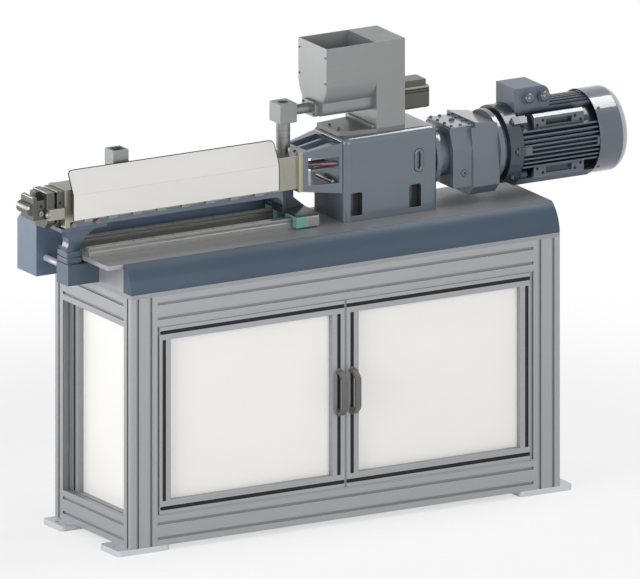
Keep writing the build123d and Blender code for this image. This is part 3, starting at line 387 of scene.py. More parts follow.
nodeFinishes = {
    "apronPaint": ["front_apron"],
    "enamel": ["front_pedestal"],
    "bracketPaint": ["bed_bracket"],
    "beamLitPaint": ["barrel_beam"],
    "ductLitPaint": ["rear_duct"],
    "supportShadedPaint": ["rear_support"],
    "castPaint": ["lantern", "gearbox", "coupling_housing", "reducer", "motor_flange"],
    "motorPaint": ["motor_body"],
    "cowlPaint": ["fan_cover"],
    "boxLitPaint": ["terminal_box"],
    "panelWhite": ["fixed_panels", "left_door_panel", "right_door_panel"],
    "guardSheet": ["barrel_cover"],
    "feederMotorPaint": ["feeder_motor"],
    "postProfile": ["corner_posts"],
    "railProfile": ["top_rails", "bottom_rails"],
    "uprightProfile": ["panel_stiles"],
    "levelProfile": ["left_door_frame", "right_door_frame"],
    "tablePlate": ["table_plate"],
    "plate": ["bed_frame", "bed_plate", "cabinet_floor"],
    "footPlate": ["foot_plates"],
    "barrelSteel": ["barrel"],
    "dieSteel": ["die_adapter", "die_clamp", "die_head"],
    "feedSteel": ["feed_block"],
    "stainless": ["feed_pipe", "outlet_block", "feeder_tube", "drive_housing", "vent_stack"],
    "hopperSteel": ["feeder_hopper"],
    "basePlate": ["feeder_base"],
    "railSteel": ["guide_rails", "rail_carriages", "door_pivots"],
    "redShaft": ["drive_shafts"],
    "tealCap": ["carriage_caps"],
    "handlePlastic": ["left_door_handle", "right_door_handle", "cooling_fan"],
    "oilGlass": ["sight_glass"]}
for finish, names in nodeFinishes.items():
    for name in names:
        nodes[name].data.materials.clear()
        nodes[name].data.materials.append(finishes[finish])
print("finishes made:", len(finishes))


# the four corner numbers of each cell of a grid of points counted row by row
def gridQuads(rows, columns, wrapRows=False, wrapColumns=False):
    row = np.arange(rows if wrapRows else rows - 1)[:, None]
    column = np.arange(columns if wrapColumns else columns - 1)[None, :]
    nextRow = (row + 1) % rows
    nextColumn = (column + 1) % columns
    corners = np.broadcast_arrays(row * columns + column, row * columns + nextColumn,
                                  nextRow * columns + nextColumn, nextRow * columns + column)
    return np.stack(corners, -1).reshape(-1, 4)


# outline of a rectangle with round corners: corner centre by the sign of cos and sin, plus the radius
def softBox(width, height, radius, steps=4):
    angle = (np.arange(4 * steps) + 0.5) * math.pi / (2 * steps)
    ring = np.stack([np.cos(angle), np.sin(angle)], -1)
    return np.sign(ring) * (np.array([width, height]) / 2 - radius) + radius * ring


# outline of a circle: radius*(cos, sin)
def roundOutline(radius, steps=12):
    angle = np.arange(steps) * 2 * math.pi / steps
    return radius * np.stack([np.cos(angle), np.sin(angle)], -1)


# straight runs with each corner replaced by a curve:
# start and end weighted by (1-t)^2 and t^2, the corner by 2t(1-t)
def roundedPath(points, radius, steps=6):
    points = np.array(points, float)
    before = points[:-2] - points[1:-1]
    after = points[2:] - points[1:-1]
    start = points[1:-1] + radius * before / np.linalg.norm(before, axis=1, keepdims=True)
    end = points[1:-1] + radius * after / np.linalg.norm(after, axis=1, keepdims=True)
    t = np.linspace(0, 1, steps)[None, :, None]
    curves = (1 - t) ** 2 * start[:, None] + 2 * t * (1 - t) * points[1:-1, None] + t ** 2 * end[:, None]
    return np.concatenate([points[:1], curves.reshape(-1, 3), points[-1:]])


# a profile carried along a flat path: its first number runs along side, its second across path and side,
# widened at the corners by one over the cosine of half the turn
def carried(profile, path, side, closed=False):
    path = np.array(path, float)
    side = np.array(side, float)
    ahead = np.roll(path, -1, 0) - path
    behind = path - np.roll(path, 1, 0)
    if not closed:
        ahead[-1] = behind[-1]
        behind[0] = ahead[0]
    ahead /= np.linalg.norm(ahead, axis=1, keepdims=True)
    behind /= np.linalg.norm(behind, axis=1, keepdims=True)
    tangent = ahead + behind
    tangent /= np.linalg.norm(tangent, axis=1, keepdims=True)
    widen = 1 / np.maximum((tangent * ahead).sum(1), 0.3)
    across = np.cross(tangent, side) * widen[:, None]
    points = path[:, None] + profile[None, :, :1] * side + profile[None, :, 1:] * across[:, None]
    count = len(profile)
    faces = [gridQuads(len(path), count, closed, True)]
    if not closed:
        ring = np.arange(count)[None, :]
        faces += [ring[:, ::-1], ring + (len(path) - 1) * count]
    return points.reshape(-1, 3), faces


# a bar of one outline from start to end
def bar(outline, start, end, side):
    return carried(outline, [start, end], side)


# a profile of (radius, height) turned about an axis at each centre: centre + height*axis + radius*(cos, sin)
def turned(profile, centres, axis, count=20):
    profile = np.array(profile, float)
    centres = np.array(centres, float).reshape(-1, 3)
    axis = np.array(axis, float) / np.linalg.norm(axis)
    first = np.cross(axis, [0, 0, 1.0] if abs(axis[2]) < 0.9 else [1.0, 0, 0])
    first /= np.linalg.norm(first)
    second = np.cross(axis, first)
    angle = np.arange(count) * 2 * math.pi / count
    ring = np.cos(angle)[:, None] * first + np.sin(angle)[:, None] * second
    one = profile[:, None, 1:] * axis + profile[:, None, :1] * ring
    points = centres[:, None, None] + one[None]
    quads = gridQuads(len(profile), count, False, True)
    shift = np.arange(len(centres))[:, None, None] * one.shape[0] * count
    return points.reshape(-1, 3), [(quads[None] + shift).reshape(-1, 4)]


# joins (points, faces) parts into one mesh at the origin, merges doubles and turns the faces outwards
def addPiece(name, parts, finish, body="machine", smooth=35.0):
    points = np.concatenate([part[0] for part in parts])
    starts = np.cumsum([0] + [len(part[0]) for part in parts])
    faces = []
    for start, part in zip(starts, parts):
        for group in part[1]:
            faces += (group + start).tolist()
    mesh = bpy.data.meshes.new(name)
    mesh.from_pydata(points.tolist(), [], faces)
    work = bmesh.new()
    work.from_mesh(mesh)
    bmesh.ops.remove_doubles(work, verts=work.verts, dist=1e-6)
    bmesh.ops.recalc_face_normals(work, faces=work.faces)
    work.to_mesh(mesh)
    work.free()
    mesh.shade_smooth()
    mesh.set_sharp_from_angle(angle=math.radians(smooth))
    mesh.materials.append(finishes[finish])
    piece = bpy.data.objects.new(name, mesh)
    bpy.context.collection.objects.link(piece)
    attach(piece, body)
    return piece


# cap screws: a round head with a chamfer and a socket sunk in it, standing height off its face
def capScrews(centres, axis, radius, height):
    r, h = radius, height
    profile = [(0, 0.45 * h), (0.5 * r, 0.45 * h), (0.5 * r, 0.94 * h), (0.56 * r, h), (0.86 * r, h),
               (r, 0.86 * h), (r, -0.2 * h), (0, -0.2 * h)]
    return turned(profile, centres, axis, 16)


# hexagon heads: six flats with a chamfered crown on a round washer
def hexHeads(centres, axis, radius, height):
    r, h = radius, height
    washer = [(0, 0.22 * h), (1.12 * r, 0.22 * h), (1.2 * r, 0.14 * h), (1.2 * r, -0.1 * h), (0, -0.1 * h)]
    head = [(0, h), (0.8 * r, h), (r, 0.9 * h), (r, 0.2 * h), (0, 0.2 * h)]
    return [turned(washer, centres, axis), turned(head, centres, axis, 6)]


# domes: a quarter ellipse of (radius*sin, height*cos) over a short straight foot sunk in its face
def domes(centres, axis, radius, height, count, foot=1.0 * mm):
    turn = np.linspace(0, math.pi / 2, 8)
    profile = np.stack([radius * np.sin(turn), height * np.cos(turn)], -1)
    return turned(np.concatenate([profile, [(radius, -foot), (0, -foot)]]), centres, axis, count)


# flat discs with a soft rim, used as plugs and, in black, as painted shade in the mouths of holes
def discs(centres, axis, radius, height=0.4 * mm):
    r, h = radius, height
    return turned([(0, h), (0.86 * r, h), (r, 0.5 * h), (r, -h), (0, -h)], centres, axis)


# rings: a small square section, twice half wide, at one radius
def rings(centres, axis, radius, half):
    inner, outer = radius - half, radius + half
    section = [(inner, -half), (outer, -half), (outer, half), (inner, half), (inner, -half)]
    return turned(section, centres, axis, 40)


# places on a circle about the drive line: its height + radius*(cos, sin) in Y and Z
def onCircle(x, radius, angles):
    angles = np.radians(angles)
    y, z = radius * np.cos(angles), driveHeight + radius * np.sin(angles)
    return np.stack([np.full(len(angles), x), y, z], -1)


# dark strips in the front slots of the doors, and edge strips of profile where the doors meet
strip = {"width": 10.6 * mm, "thick": 4.0 * mm, "round": 1.0 * mm, "proud": 0.5 * mm, "cornerClear": 6 * mm,
         "slotX": (20 * mm, 550 * mm), "slotZ": (115 * mm, 593 * mm), "stileZ": (135 * mm, 573 * mm)}
seal = {"gap": 0.6 * mm, "deep": 28 * mm, "round": 0.8 * mm, "inset": 1.0 * mm}
stripOutline = softBox(strip["width"], strip["thick"], strip["round"])
for side, body in ((-1, "left_door"), (1, "right_door")):
    low, high = span(body + "_frame")
    meeting, outer = sorted(np.abs([low[0], high[0]]))
    outer -= strip["cornerClear"]
    y = low[1] + strip["thick"] / 2 - strip["proud"]
    bottom, top = strip["stileZ"]
    parts = [bar(stripOutline, (side * meeting, y, z), (side * outer, y, z), (0, 0, 1))
             for z in strip["slotZ"]]
    parts += [bar(stripOutline, (side * x, y, bottom), (side * x, y, top), (1, 0, 0))
              for x in strip["slotX"]]
    addPiece(body + "Strips", parts, "blackRubberAndShade", body)
    outline = softBox(meeting - seal["gap"], seal["deep"], seal["round"])
    x = side * (meeting + seal["gap"]) / 2
    y = low[1] + seal["inset"] + seal["deep"] / 2
    parts = [bar(outline, (x, y, low[2] + seal["inset"]), (x, y, high[2] - seal["inset"]), (1, 0, 0))]
    addPiece(body + "Seal", parts, "uprightProfile", body)

# stops on the frame behind the gaps round the doors: level ones on the rails and upright ones on the posts
stops = {"reach": 569 * mm, "thick": 4.2 * mm, "front": 0.6 * mm, "deep": 28 * mm, "round": 0.8 * mm,
         "postFace": 570 * mm, "sideThick": 4.0 * mm, "sideFront": 5.5 * mm, "sideDeep": 22 * mm}
low, high = span("left_door_frame")
heights = (span("top_rails")[0][2] - stops["thick"] / 2, span("bottom_rails")[1][2] + stops["thick"] / 2)
outline = softBox(stops["deep"], stops["thick"], stops["round"])
y = low[1] + stops["front"] + stops["deep"] / 2
parts = [bar(outline, (-stops["reach"], y, z), (stops["reach"], y, z), (0, 1, 0)) for z in heights]
outline = softBox(stops["sideThick"], stops["sideDeep"], stops["round"])
x = stops["postFace"] - stops["sideThick"] / 2
y = low[1] + stops["sideFront"] + stops["sideDeep"] / 2
parts += [bar(outline, (side * x, y, low[2]), (side * x, y, high[2]), (1, 0, 0)) for side in (-1, 1)]
addPiece("doorStops", parts, "levelProfile")

# dark strips in the outer slots of the uprights beside the side panels
upright = {"thick": 3.0 * mm, "width": 7.6 * mm, "round": 0.8 * mm, "sunk": 0.9 * mm, "slotY": 140 * mm,
           "inset": 1.0 * mm}
low, high = span("panel_stiles")
outline = softBox(upright["thick"], upright["width"], upright["round"])
bottom, top = low[2] + upright["inset"], high[2] - upright["inset"]
places = [(sx * (high[0] - upright["sunk"]), sy * upright["slotY"]) for sx in (-1, 1) for sy in (-1, 1)]
parts = [bar(outline, (x, y, bottom), (x, y, top), (1, 0, 0)) for x, y in places]
addPiece("sideStrips", parts, "blackRubberAndShade")
print("door strips, seals and stops made")

# bow handles: a flat bar with softened edges along straight runs with bevelled corners, on two round feet
handle = {"bar": 9 * mm, "barRound": 1.4 * mm, "bevel": 17 * mm, "corner": 2.5 * mm, "sunk": 1.0 * mm,
          "footRadius": 9.5 * mm, "footHeight": 2.5 * mm}
for side in ("left", "right"):
    low, high = span(side + "_door_handle")
    face = span(side + "_door_frame")[0][1]
    x = (low[0] + high[0]) / 2
    half, bevel = handle["bar"] / 2, handle["bevel"]
    front, back = low[1] + half, face + handle["sunk"]
    bottom, top = low[2] + half, high[2] - half
    corners = [(x, back, bottom), (x, front + bevel, bottom), (x, front, bottom + bevel),
               (x, front, top - bevel), (x, front + bevel, top), (x, back, top)]
    outline = softBox(high[0] - low[0], handle["bar"], handle["barRound"], 5)
    bow = carried(outline, roundedPath(corners, handle["corner"]), (1, 0, 0))
    r, h = handle["footRadius"], handle["footHeight"]
    foot = [(0, h), (0.8 * r, h), (r, 0.3 * h), (r, -0.3 * h), (0, -0.3 * h)]
    feet = turned(foot, [(x, face, bottom), (x, face, top)], (0, -1, 0), 28)
    piece = addPiece(side + "BowHandle", [bow, feet], "handlePlastic", side + "_door", 50)
    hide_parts(side + "_door_handle")
print("handles made")

# a dark bead on the guard's front sheet, painted shade along its edges: up both ends, round the corners and
# along the ridge of its lean
guard = {"bead": 1.5 * mm, "sunk": 1.0 * mm, "shoulder": 961 * mm, "ridgeY": -37 * mm, "corner": 15 * mm}
low, high = span("barrel_cover")
bead = roundOutline(guard["bead"], 10)
shoulder, y = guard["shoulder"], low[1] + guard["sunk"]
lean = np.array([0, guard["ridgeY"] - low[1], high[2] - shoulder])
run = np.array([(low[0], y, shoulder), (low[0], y, shoulder), (high[0], y, shoulder), (high[0], y, shoulder)])
run[1:3] += lean
normal = np.array([0, -lean[2], lean[1]]) / np.linalg.norm(lean)
parts = [carried(bead, roundedPath(run, guard["corner"], 8), normal)]
parts += [bar(bead, (x, y, low[2]), (x, y, shoulder), (1, 0, 0)) for x in (low[0], high[0])]
addPiece("guardEdgeShade", parts, "blackRubberAndShade")
print("guard edging made")

# the fan cowl: wall, rounded rim and end as one curve turned about the shaft, with slots left out of its end;
# close rings at the open edge and before the rim keep the wall's shading straight
cowl = {"rimAlong": 23 * mm, "rimIn": 20 * mm, "wall": 3.0 * mm, "edgeRings": (0, 0.6 * mm, 1.2 * mm),
        "rimRings": (3 * mm, 1 * mm), "flatIn": 3 * mm, "hub": 28 * mm, "slots": 24, "perSlot": 8,
        "slotShare": 0.45, "slotFrom": 36 * mm, "slotTo": 84 * mm, "screwAt": 11 * mm, "screwSunk": 0.4 * mm,
        "screw": 4.0 * mm, "screwHeight": 2.6 * mm}
low, high = span("fan_cover")
shaftY, shaftZ = (low[1] + high[1]) / 2, (low[2] + high[2]) / 2
outer = (high[1] - low[1]) / 2
rimStart = high[0] - cowl["rimAlong"]
wall = [low[0] + gap for gap in cowl["edgeRings"]] + [rimStart - gap for gap in cowl["rimRings"]]
turn = np.linspace(0, math.pi / 2, 12)
flat = np.concatenate([[outer - cowl["rimIn"] - cowl["flatIn"]],
                       np.linspace(cowl["slotTo"], cowl["slotFrom"], 7), np.linspace(cowl["hub"], 0, 4)])
radius = np.concatenate([np.full(len(wall), outer), outer - cowl["rimIn"] * (1 - np.cos(turn)), flat])
along = np.concatenate([wall, rimStart + cowl["rimAlong"] * np.sin(turn), np.full(len(flat), high[0])])
around = cowl["slots"] * cowl["perSlot"]
angle = np.arange(around) * 2 * math.pi / around
grid = np.stack([np.broadcast_to(along[:, None], (len(along), around)),
                 shaftY + radius[:, None] * np.cos(angle), shaftZ + radius[:, None] * np.sin(angle)], -1)
quads = gridQuads(len(radius), around, False, True)
ringOf = quads[:, 0] // around
midRadius = (radius[ringOf] + radius[ringOf + 1]) / 2
slotted = (along[ringOf] >= high[0] - 1e-6) & (midRadius < cowl["slotTo"]) & (midRadius > cowl["slotFrom"])
slotted &= quads[:, 0] % cowl["perSlot"] < cowl["slotShare"] * cowl["perSlot"]
piece = addPiece("fanCowl", [(grid.reshape(-1, 3), [quads[~slotted]])], "cowlPaint", smooth=40)
shell = piece.modifiers.new("wall", "SOLIDIFY")
shell.thickness = cowl["wall"]
shell.offset = -1
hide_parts("fan_cover")
spots = onCircle(low[0] + cowl["screwAt"], outer - cowl["screwSunk"], [45, 135, 225, 315])
parts = [capScrews([spot], (0, spot[1], spot[2] - shaftZ), cowl["screw"], cowl["screwHeight"])
         for spot in spots]
addPiece("cowlScrews", parts, "boltSteel")
print("fan cowl made")

# the reducer's lid: two rows of screws, shorter rows inside them, and a filler plug
lid = {"top": 992 * mm, "screwX": (405 * mm, 432 * mm, 460 * mm), "outerY": 54 * mm, "innerY": 18 * mm,
       "screw": 4.2 * mm, "screwHeight": 4 * mm, "plugX": 437 * mm, "plug": 7 * mm, "plugHeight": 6 * mm}
centres = [(x, s * lid["outerY"], lid["top"]) for x in lid["screwX"] for s in (-1, 1)]
centres += [(x, s * lid["innerY"], lid["top"]) for x in lid["screwX"][::2] for s in (-1, 1)]
screws = capScrews(centres, (0, 0, 1), lid["screw"], lid["screwHeight"])
addPiece("lidScrews", [screws], "boltSteel")
plug = hexHeads([(lid["plugX"], 0, lid["top"])], (0, 0, 1), lid["plug"], lid["plugHeight"])
addPiece("lidPlug", plug, "boltSteel")

# a square plug on its corner in the reducer's front, with a hole and a dark line round it, both dark pieces
# of painted shade
drain = {"at": (428 * mm, -82 * mm, 869 * mm), "radius": 11 * mm, "height": 2 * mm, "chamfer": 0.8 * mm,
         "sunk": 1.0 * mm, "holeAt": (429 * mm, -84 * mm, 869 * mm), "hole": 3.0 * mm, "lineOut": 0.8 * mm,
         "line": 1.2 * mm, "lineHeight": 1.0 * mm}
r, h = drain["radius"], drain["height"]
boss = [(0, h), (0.86 * r, h), (r, h - drain["chamfer"]), (r, -drain["sunk"]), (0, -drain["sunk"])]
addPiece("casePlug", [turned(boss, [drain["at"]], (0, -1, 0), 4)], "castPaint")
outer, h = r + drain["lineOut"], drain["lineHeight"]
inner = outer - drain["line"]
line = turned([(inner, 0), (inner, h), (outer, h), (outer, 0), (inner, 0)], [drain["at"]], (0, -1, 0), 4)
holeShades = [discs([drain["holeAt"]], (0, -1, 0), drain["hole"]), line]

# bolt heads on the coupling's flange, the motor's flange and the lugs of the motor's end shield
flange = {"thick": 14 * mm, "bolts": 8, "height": 5 * mm, "couplingCircle": 72 * mm, "couplingBolt": 5.0 * mm,
          "motorCircle": 91.5 * mm, "motorBolt": 4.4 * mm}
lug = {"back": 20 * mm, "circle": 106 * mm, "angles": (0, 45, 135, 180, 225, 315), "bolt": 6.5 * mm,
       "height": 6 * mm}
angles = (np.arange(flange["bolts"]) + 0.5) * 360 / flange["bolts"]
bolts = []
for name, circle, bolt in (("coupling_housing", flange["couplingCircle"], flange["couplingBolt"]),
                           ("motor_flange", flange["motorCircle"], flange["motorBolt"])):
    spots = onCircle(span(name)[0][0] + flange["thick"], circle, angles)
    bolts += hexHeads(spots, (1, 0, 0), bolt, flange["height"])
spots = onCircle(span("motor_body")[0][0] + lug["back"], lug["circle"], lug["angles"])
bolts += hexHeads(spots, (-1, 0, 0), lug["bolt"], lug["height"])
addPiece("flangeBolts", bolts, "boltSteel")

# the motor's foot plates: holes near their corners as dark discs of painted shade, and bevels along the tops
# of the upper ones
pad = {"front": 40 * mm, "back": 3 * mm, "halfLong": 75.5 * mm, "middle": 65 * mm, "face": 86 * mm,
       "hole": 4.2 * mm, "holes": ((10 * mm, -6 * mm), (27 * mm, 6 * mm)), "crestWide": 10 * mm,
       "crestHigh": 7 * mm, "crestY": 76 * mm, "crestZ": 992 * mm}
middle = (span("fan_cover")[0][0] + pad["back"] + span("motor_body")[0][0] + pad["front"]) / 2
spots = [(middle + sx * (pad["halfLong"] - dx), driveHeight + sz * (pad["middle"] + dz))
         for sx in (-1, 1) for sz in (-1, 1) for dx, dz in pad["holes"]]
holeShades += [discs([(x, s * pad["face"], z) for x, z in spots], (0, s, 0), pad["hole"]) for s in (-1, 1)]
addPiece("driveHoles", holeShades, "blackRubberAndShade")
bevel = np.array([(0, 0), (pad["crestWide"], 0), (0, pad["crestHigh"])])
start, end = middle - pad["halfLong"], middle + pad["halfLong"]
y, z = pad["crestY"], pad["crestZ"]
parts = [bar(bevel * [s, 1], (start, s * y, z), (end, s * y, z), (0, 1, 0)) for s in (-1, 1)]
addPiece("padCrests", parts, "cowlPaint")

# terminal box: domed plugs in collars on the two hexagon glands
gland = {"x": (38 * mm, 84 * mm), "z": 36 * mm, "dome": 14.5 * mm, "domeHeight": 10 * mm, "collar": 15.6 * mm,
         "collarHalf": 0.9 * mm, "collarSunk": 0.3 * mm}
low = span("terminal_box")[0]
centres = np.array([low + [x, 0, gland["z"]] for x in gland["x"]])
plugs = domes(centres, (0, -1, 0), gland["dome"], gland["domeHeight"], 28)
addPiece("glandPlugs", [plugs], "cowlPaint", smooth=50)
collars = rings(centres + [0, gland["collarSunk"], 0], (0, -1, 0), gland["collar"], gland["collarHalf"])
addPiece("glandCollars", [collars], "boltSteel")
print("drive screws and plugs made")

# feeder: screws in the hopper's end, in the tube's flange and in the base
hopper = {"screw": 2.8 * mm, "height": 2 * mm, "y": 68 * mm, "z": (1163 * mm, 1233 * mm)}
tube = {"flange": 12 * mm, "screw": 3.2 * mm, "height": 3 * mm, "y": 28 * mm, "z": (1073 * mm, 1097 * mm)}
base = {"screw": 3.4 * mm, "height": 4.5 * mm, "x": 79 * mm, "y": (-27 * mm, 21 * mm)}
left = span("feeder_hopper")[0][0]
parts = []
for x, look in ((left, hopper), (left - tube["flange"], tube)):
    centres = [(x, s * look["y"], z) for s in (-1, 1) for z in look["z"]]
    parts.append(capScrews(centres, (-1, 0, 0), look["screw"], look["height"]))
centres = [(base["x"], y, span("feeder_base")[1][2]) for y in base["y"]]
parts.append(capScrews(centres, (0, 0, 1), base["screw"], base["height"]))
addPiece("feederScrews", parts, "boltSteel")

# joint lines on the down pipe, and dark strips along the small motor, painted shade in its grooves
pipe = {"radius": 18.5 * mm, "half": 0.6 * mm, "z": (1037 * mm, 1017 * mm, 988 * mm)}
low, high = span("feed_pipe")
centres = [((low[0] + high[0]) / 2, 0, z) for z in pipe["z"]]
addPiece("pipeJoints", [rings(centres, (0, 0, 1), pipe["radius"], pipe["half"])], "boltSteel")
groove = {"thick": 1.2 * mm, "width": 2.2 * mm, "round": 0.4 * mm, "end": 2 * mm, "y": 30 * mm,
          "z": (1099 * mm, 1092 * mm)}
low, high = span("feeder_motor")
outline = softBox(groove["thick"], groove["width"], groove["round"])
start, end = low[0] + groove["end"], high[0] - groove["end"]
parts = [bar(outline, (start, s * groove["y"], z), (end, s * groove["y"], z), (0, 1, 0))
         for s in (-1, 1) for z in groove["z"]]
addPiece("motorGrooveShade", parts, "blackRubberAndShade")

# a rounded lug on the feed block, with a hole as a dark disc of painted shade
feedLug = {"width": 26 * mm, "height": 30 * mm, "round": 5 * mm, "x": -67 * mm, "y": (-44 * mm, -36 * mm),
           "z": 983 * mm, "holeAt": (-65 * mm, -44 * mm, 986 * mm), "hole": 4.0 * mm}
outline = softBox(feedLug["width"], feedLug["height"], feedLug["round"])
front, back = [(feedLug["x"], y, feedLug["z"]) for y in feedLug["y"]]
addPiece("feedLug", [bar(outline, front, back, (1, 0, 0))], "stainless")
holeShades = [discs([feedLug["holeAt"]], (0, -1, 0), feedLug["hole"])]
print("feeder details made")

# die end: dome nuts on the tie bars, a screw, pale strips on the plates' top edges that are painted
# highlights, a rod, and dark discs and a slot of painted shade in the mouths of holes
die = {"nut": 9 * mm, "nutY": 45 * mm, "nutZ": 912 * mm, "screwAt": (-826 * mm, -30 * mm, 914 * mm),
       "screw": 7 * mm, "screwHeight": 5 * mm, "edge": 1.6 * mm, "edgeSunk": 0.6 * mm,
       "rodAt": (-864 * mm, -25 * mm, 933 * mm), "rod": 5 * mm, "rodLong": 50 * mm}
clampX = span("die_clamp")[0][0]
centres = [(clampX, s * die["nutY"], die["nutZ"]) for s in (-1, 1)]
nuts = domes(centres, (-1, 0, 0), die["nut"], die["nut"], 24)
screw = capScrews([die["screwAt"]], (0, -1, 0), die["screw"], die["screwHeight"])
addPiece("dieNuts", [nuts, screw], "railSteel", smooth=50)
dieEdgeHighlights = ((clampX, -36 * mm, 36 * mm, 969 * mm), (-781 * mm, -36 * mm, 36 * mm, 969 * mm),
            (-851 * mm, -30 * mm, 30 * mm, 960 * mm), (-840 * mm, -28 * mm, -10 * mm, 949 * mm))
edge = roundOutline(die["edge"], 8)
parts = [bar(edge, (x, start, z - die["edgeSunk"]), (x, end, z - die["edgeSunk"]), (1, 0, 0))
         for x, start, end, z in dieEdgeHighlights]
r = die["rod"]
rod = [(0, r), (0.9 * r, 0.92 * r), (r, 0.7 * r), (r, -die["rodLong"]), (0, -die["rodLong"])]
parts.append(turned(rod, [die["rodAt"]], (0, -1, 0)))
addPiece("dieEdgeHighlights", parts, "edgeHighlightSteel", smooth=50)
dieHoles = {"clampX": -773 * mm, "clampY": -38 * mm, "clampZ": (938 * mm, 890 * mm, 878 * mm),
            "clamp": 4.2 * mm, "headAt": (-826 * mm, -30 * mm, 934 * mm), "head": 4.5 * mm,
            "slotX": -841 * mm, "slotY": -30 * mm, "slotZ": (903 * mm, 943 * mm), "slotWide": 2.6 * mm,
            "slotThick": 1.2 * mm, "slotRound": 0.4 * mm}
centres = [(dieHoles["clampX"], dieHoles["clampY"], z) for z in dieHoles["clampZ"]]
holeShades.append(discs(centres, (0, -1, 0), dieHoles["clamp"]))
holeShades.append(discs([dieHoles["headAt"]], (0, -1, 0), dieHoles["head"]))
outline = softBox(dieHoles["slotWide"], dieHoles["slotThick"], dieHoles["slotRound"])
bottom, top = [(dieHoles["slotX"], dieHoles["slotY"], z) for z in dieHoles["slotZ"]]
holeShades.append(bar(outline, bottom, top, (1, 0, 0)))
addPiece("feedHoles", holeShades, "blackRubberAndShade")

# barrel: short copper pins on the beam before its first fittings
pin = {"x": (-732.7 * mm, -658.9 * mm), "y": 30 * mm, "z": 873.5 * mm, "radius": 7.5 * mm, "long": 14 * mm,
       "chamfer": 1.0 * mm, "sunk": 1.0 * mm}
r, h = pin["radius"], pin["long"]
profile = [(0, h), (0.88 * r, h), (r, h - pin["chamfer"]), (r, -pin["sunk"]), (0, -pin["sunk"])]
parts = [turned(profile, [(x, s * pin["y"], pin["z"]) for x in pin["x"]], (0, s, 0), 24) for s in (-1, 1)]
addPiece("copperPins", parts, "copperPin")

# lantern: a rod with a red grip along its front window, and a bright pin across its floor
lantern = {"start": (-31 * mm, -48 * mm, 945 * mm), "end": (54 * mm, -60 * mm, 941 * mm), "gripFrom": 0.48,
           "rod": 4.5 * mm, "grip": 5.8 * mm, "pinX": 40 * mm, "pinY": (-64 * mm, 20 * mm), "pinZ": 894 * mm,
           "pin": 4.2 * mm}
start, end = np.array(lantern["start"]), np.array(lantern["end"])
middle = start + lantern["gripFrom"] * (end - start)
sideways = np.cross(end - start, [0, 0, 1.0])
sideways /= np.linalg.norm(sideways)
rod = bar(roundOutline(lantern["rod"], 16), start, middle, sideways)
addPiece("lanternRod", [rod], "boltSteel")
grip = bar(roundOutline(lantern["grip"], 18), middle, end, sideways)
addPiece("lanternGrip", [grip], "redShaft")
front, back = [(lantern["pinX"], y, lantern["pinZ"]) for y in lantern["pinY"]]
across = bar(roundOutline(lantern["pin"], 18), front, back, (1, 0, 0))
addPiece("lanternPin", [across], "railSteel")

# guide rails: plugged holes along their tops, and raised lines on the caps of the carriages
rail = {"first": 20 * mm, "last": -90 * mm, "pitch": 60 * mm, "y": 52 * mm, "plug": 4.5 * mm,
        "height": 0.3 * mm}
low, high = span("guide_rails")
holesX = np.arange(low[0] + rail["first"], rail["last"], rail["pitch"])
centres = [(x, s * rail["y"], high[2]) for x in holesX for s in (-1, 1)]
plugs = discs(centres, (0, 0, 1), rail["plug"], rail["height"])
addPiece("railPlugs", [plugs], "boltSteel")
cap = {"thick": 1.6 * mm, "width": 2.2 * mm, "round": 0.6 * mm, "end": 1.0 * mm,
       "z": (794 * mm, 802 * mm, 810 * mm)}
low, high = span("carriage_caps")
outline = softBox(cap["thick"], cap["width"], cap["round"])
start, end = low[0] + cap["end"], high[0] - cap["end"]
parts = [bar(outline, (start, s * high[1], z), (end, s * high[1], z), (0, 1, 0))
         for s in (-1, 1) for z in cap["z"]]
addPiece("capLines", parts, "tealCap")

# the oval rim round the sight glass: a rounded bar along two half circles, with a dark seal outside it
rim = {"face": -86 * mm, "steps": 16, "bar": 8.0 * mm, "proud": 3.0 * mm, "round": 1.8 * mm,
       "inside": 1.5 * mm, "seal": 1.6 * mm, "sealRound": 0.5 * mm, "sealOut": 3.2 * mm}
low, high = span("sight_glass")
middle = (low + high) / 2
r = (high[0] - low[0]) / 2
straight = (high[2] - low[2]) / 2 - r
turn = np.linspace(0, math.pi, rim["steps"])
angle = np.concatenate([turn, turn + math.pi])
offset = np.repeat([straight, -straight], rim["steps"])
around = np.stack([np.cos(angle), np.zeros_like(angle), np.sin(angle)], -1)
centre = np.stack([np.full_like(angle, middle[0]), np.full_like(angle, rim["face"]), middle[2] + offset], -1)
outline = softBox(2 * rim["proud"], rim["bar"], rim["round"])
oval = carried(outline, centre + (r - rim["inside"]) * around, (0, 1, 0), True)
addPiece("sightRim", [oval], "castPaint", smooth=60)
outline = softBox(rim["seal"], rim["seal"], rim["sealRound"])
oval = carried(outline, centre + (r + rim["sealOut"]) * around, (0, 1, 0), True)
addPiece("sightSeal", [oval], "blackRubberAndShade", smooth=60)
print("die, barrel, lantern and rail details made")

# camera at the picture's angle, square on, with its middle on the machine's middle
shot = {"azimuth": -30.0, "elevation": 15.0, "width": 1.6816, "target": (0.0379, 0.0, 0.5854), "away": 6.0}
turnBy, lift = math.radians(shot["azimuth"]), math.radians(shot["elevation"])
looking = Vector((-math.sin(turnBy) * math.cos(lift), math.cos(turnBy) * math.cos(lift), -math.sin(lift)))
cameraData = bpy.data.cameras.new("camera")
cameraData.type = "ORTHO"
cameraData.ortho_scale = shot["width"]
camera = bpy.data.objects.new("camera", cameraData)
camera.location = Vector(shot["target"]) - looking * shot["away"]
camera.rotation_euler = looking.to_track_quat("-Z", "Y").to_euler()
bpy.context.collection.objects.link(camera)
bpy.context.scene.camera = camera

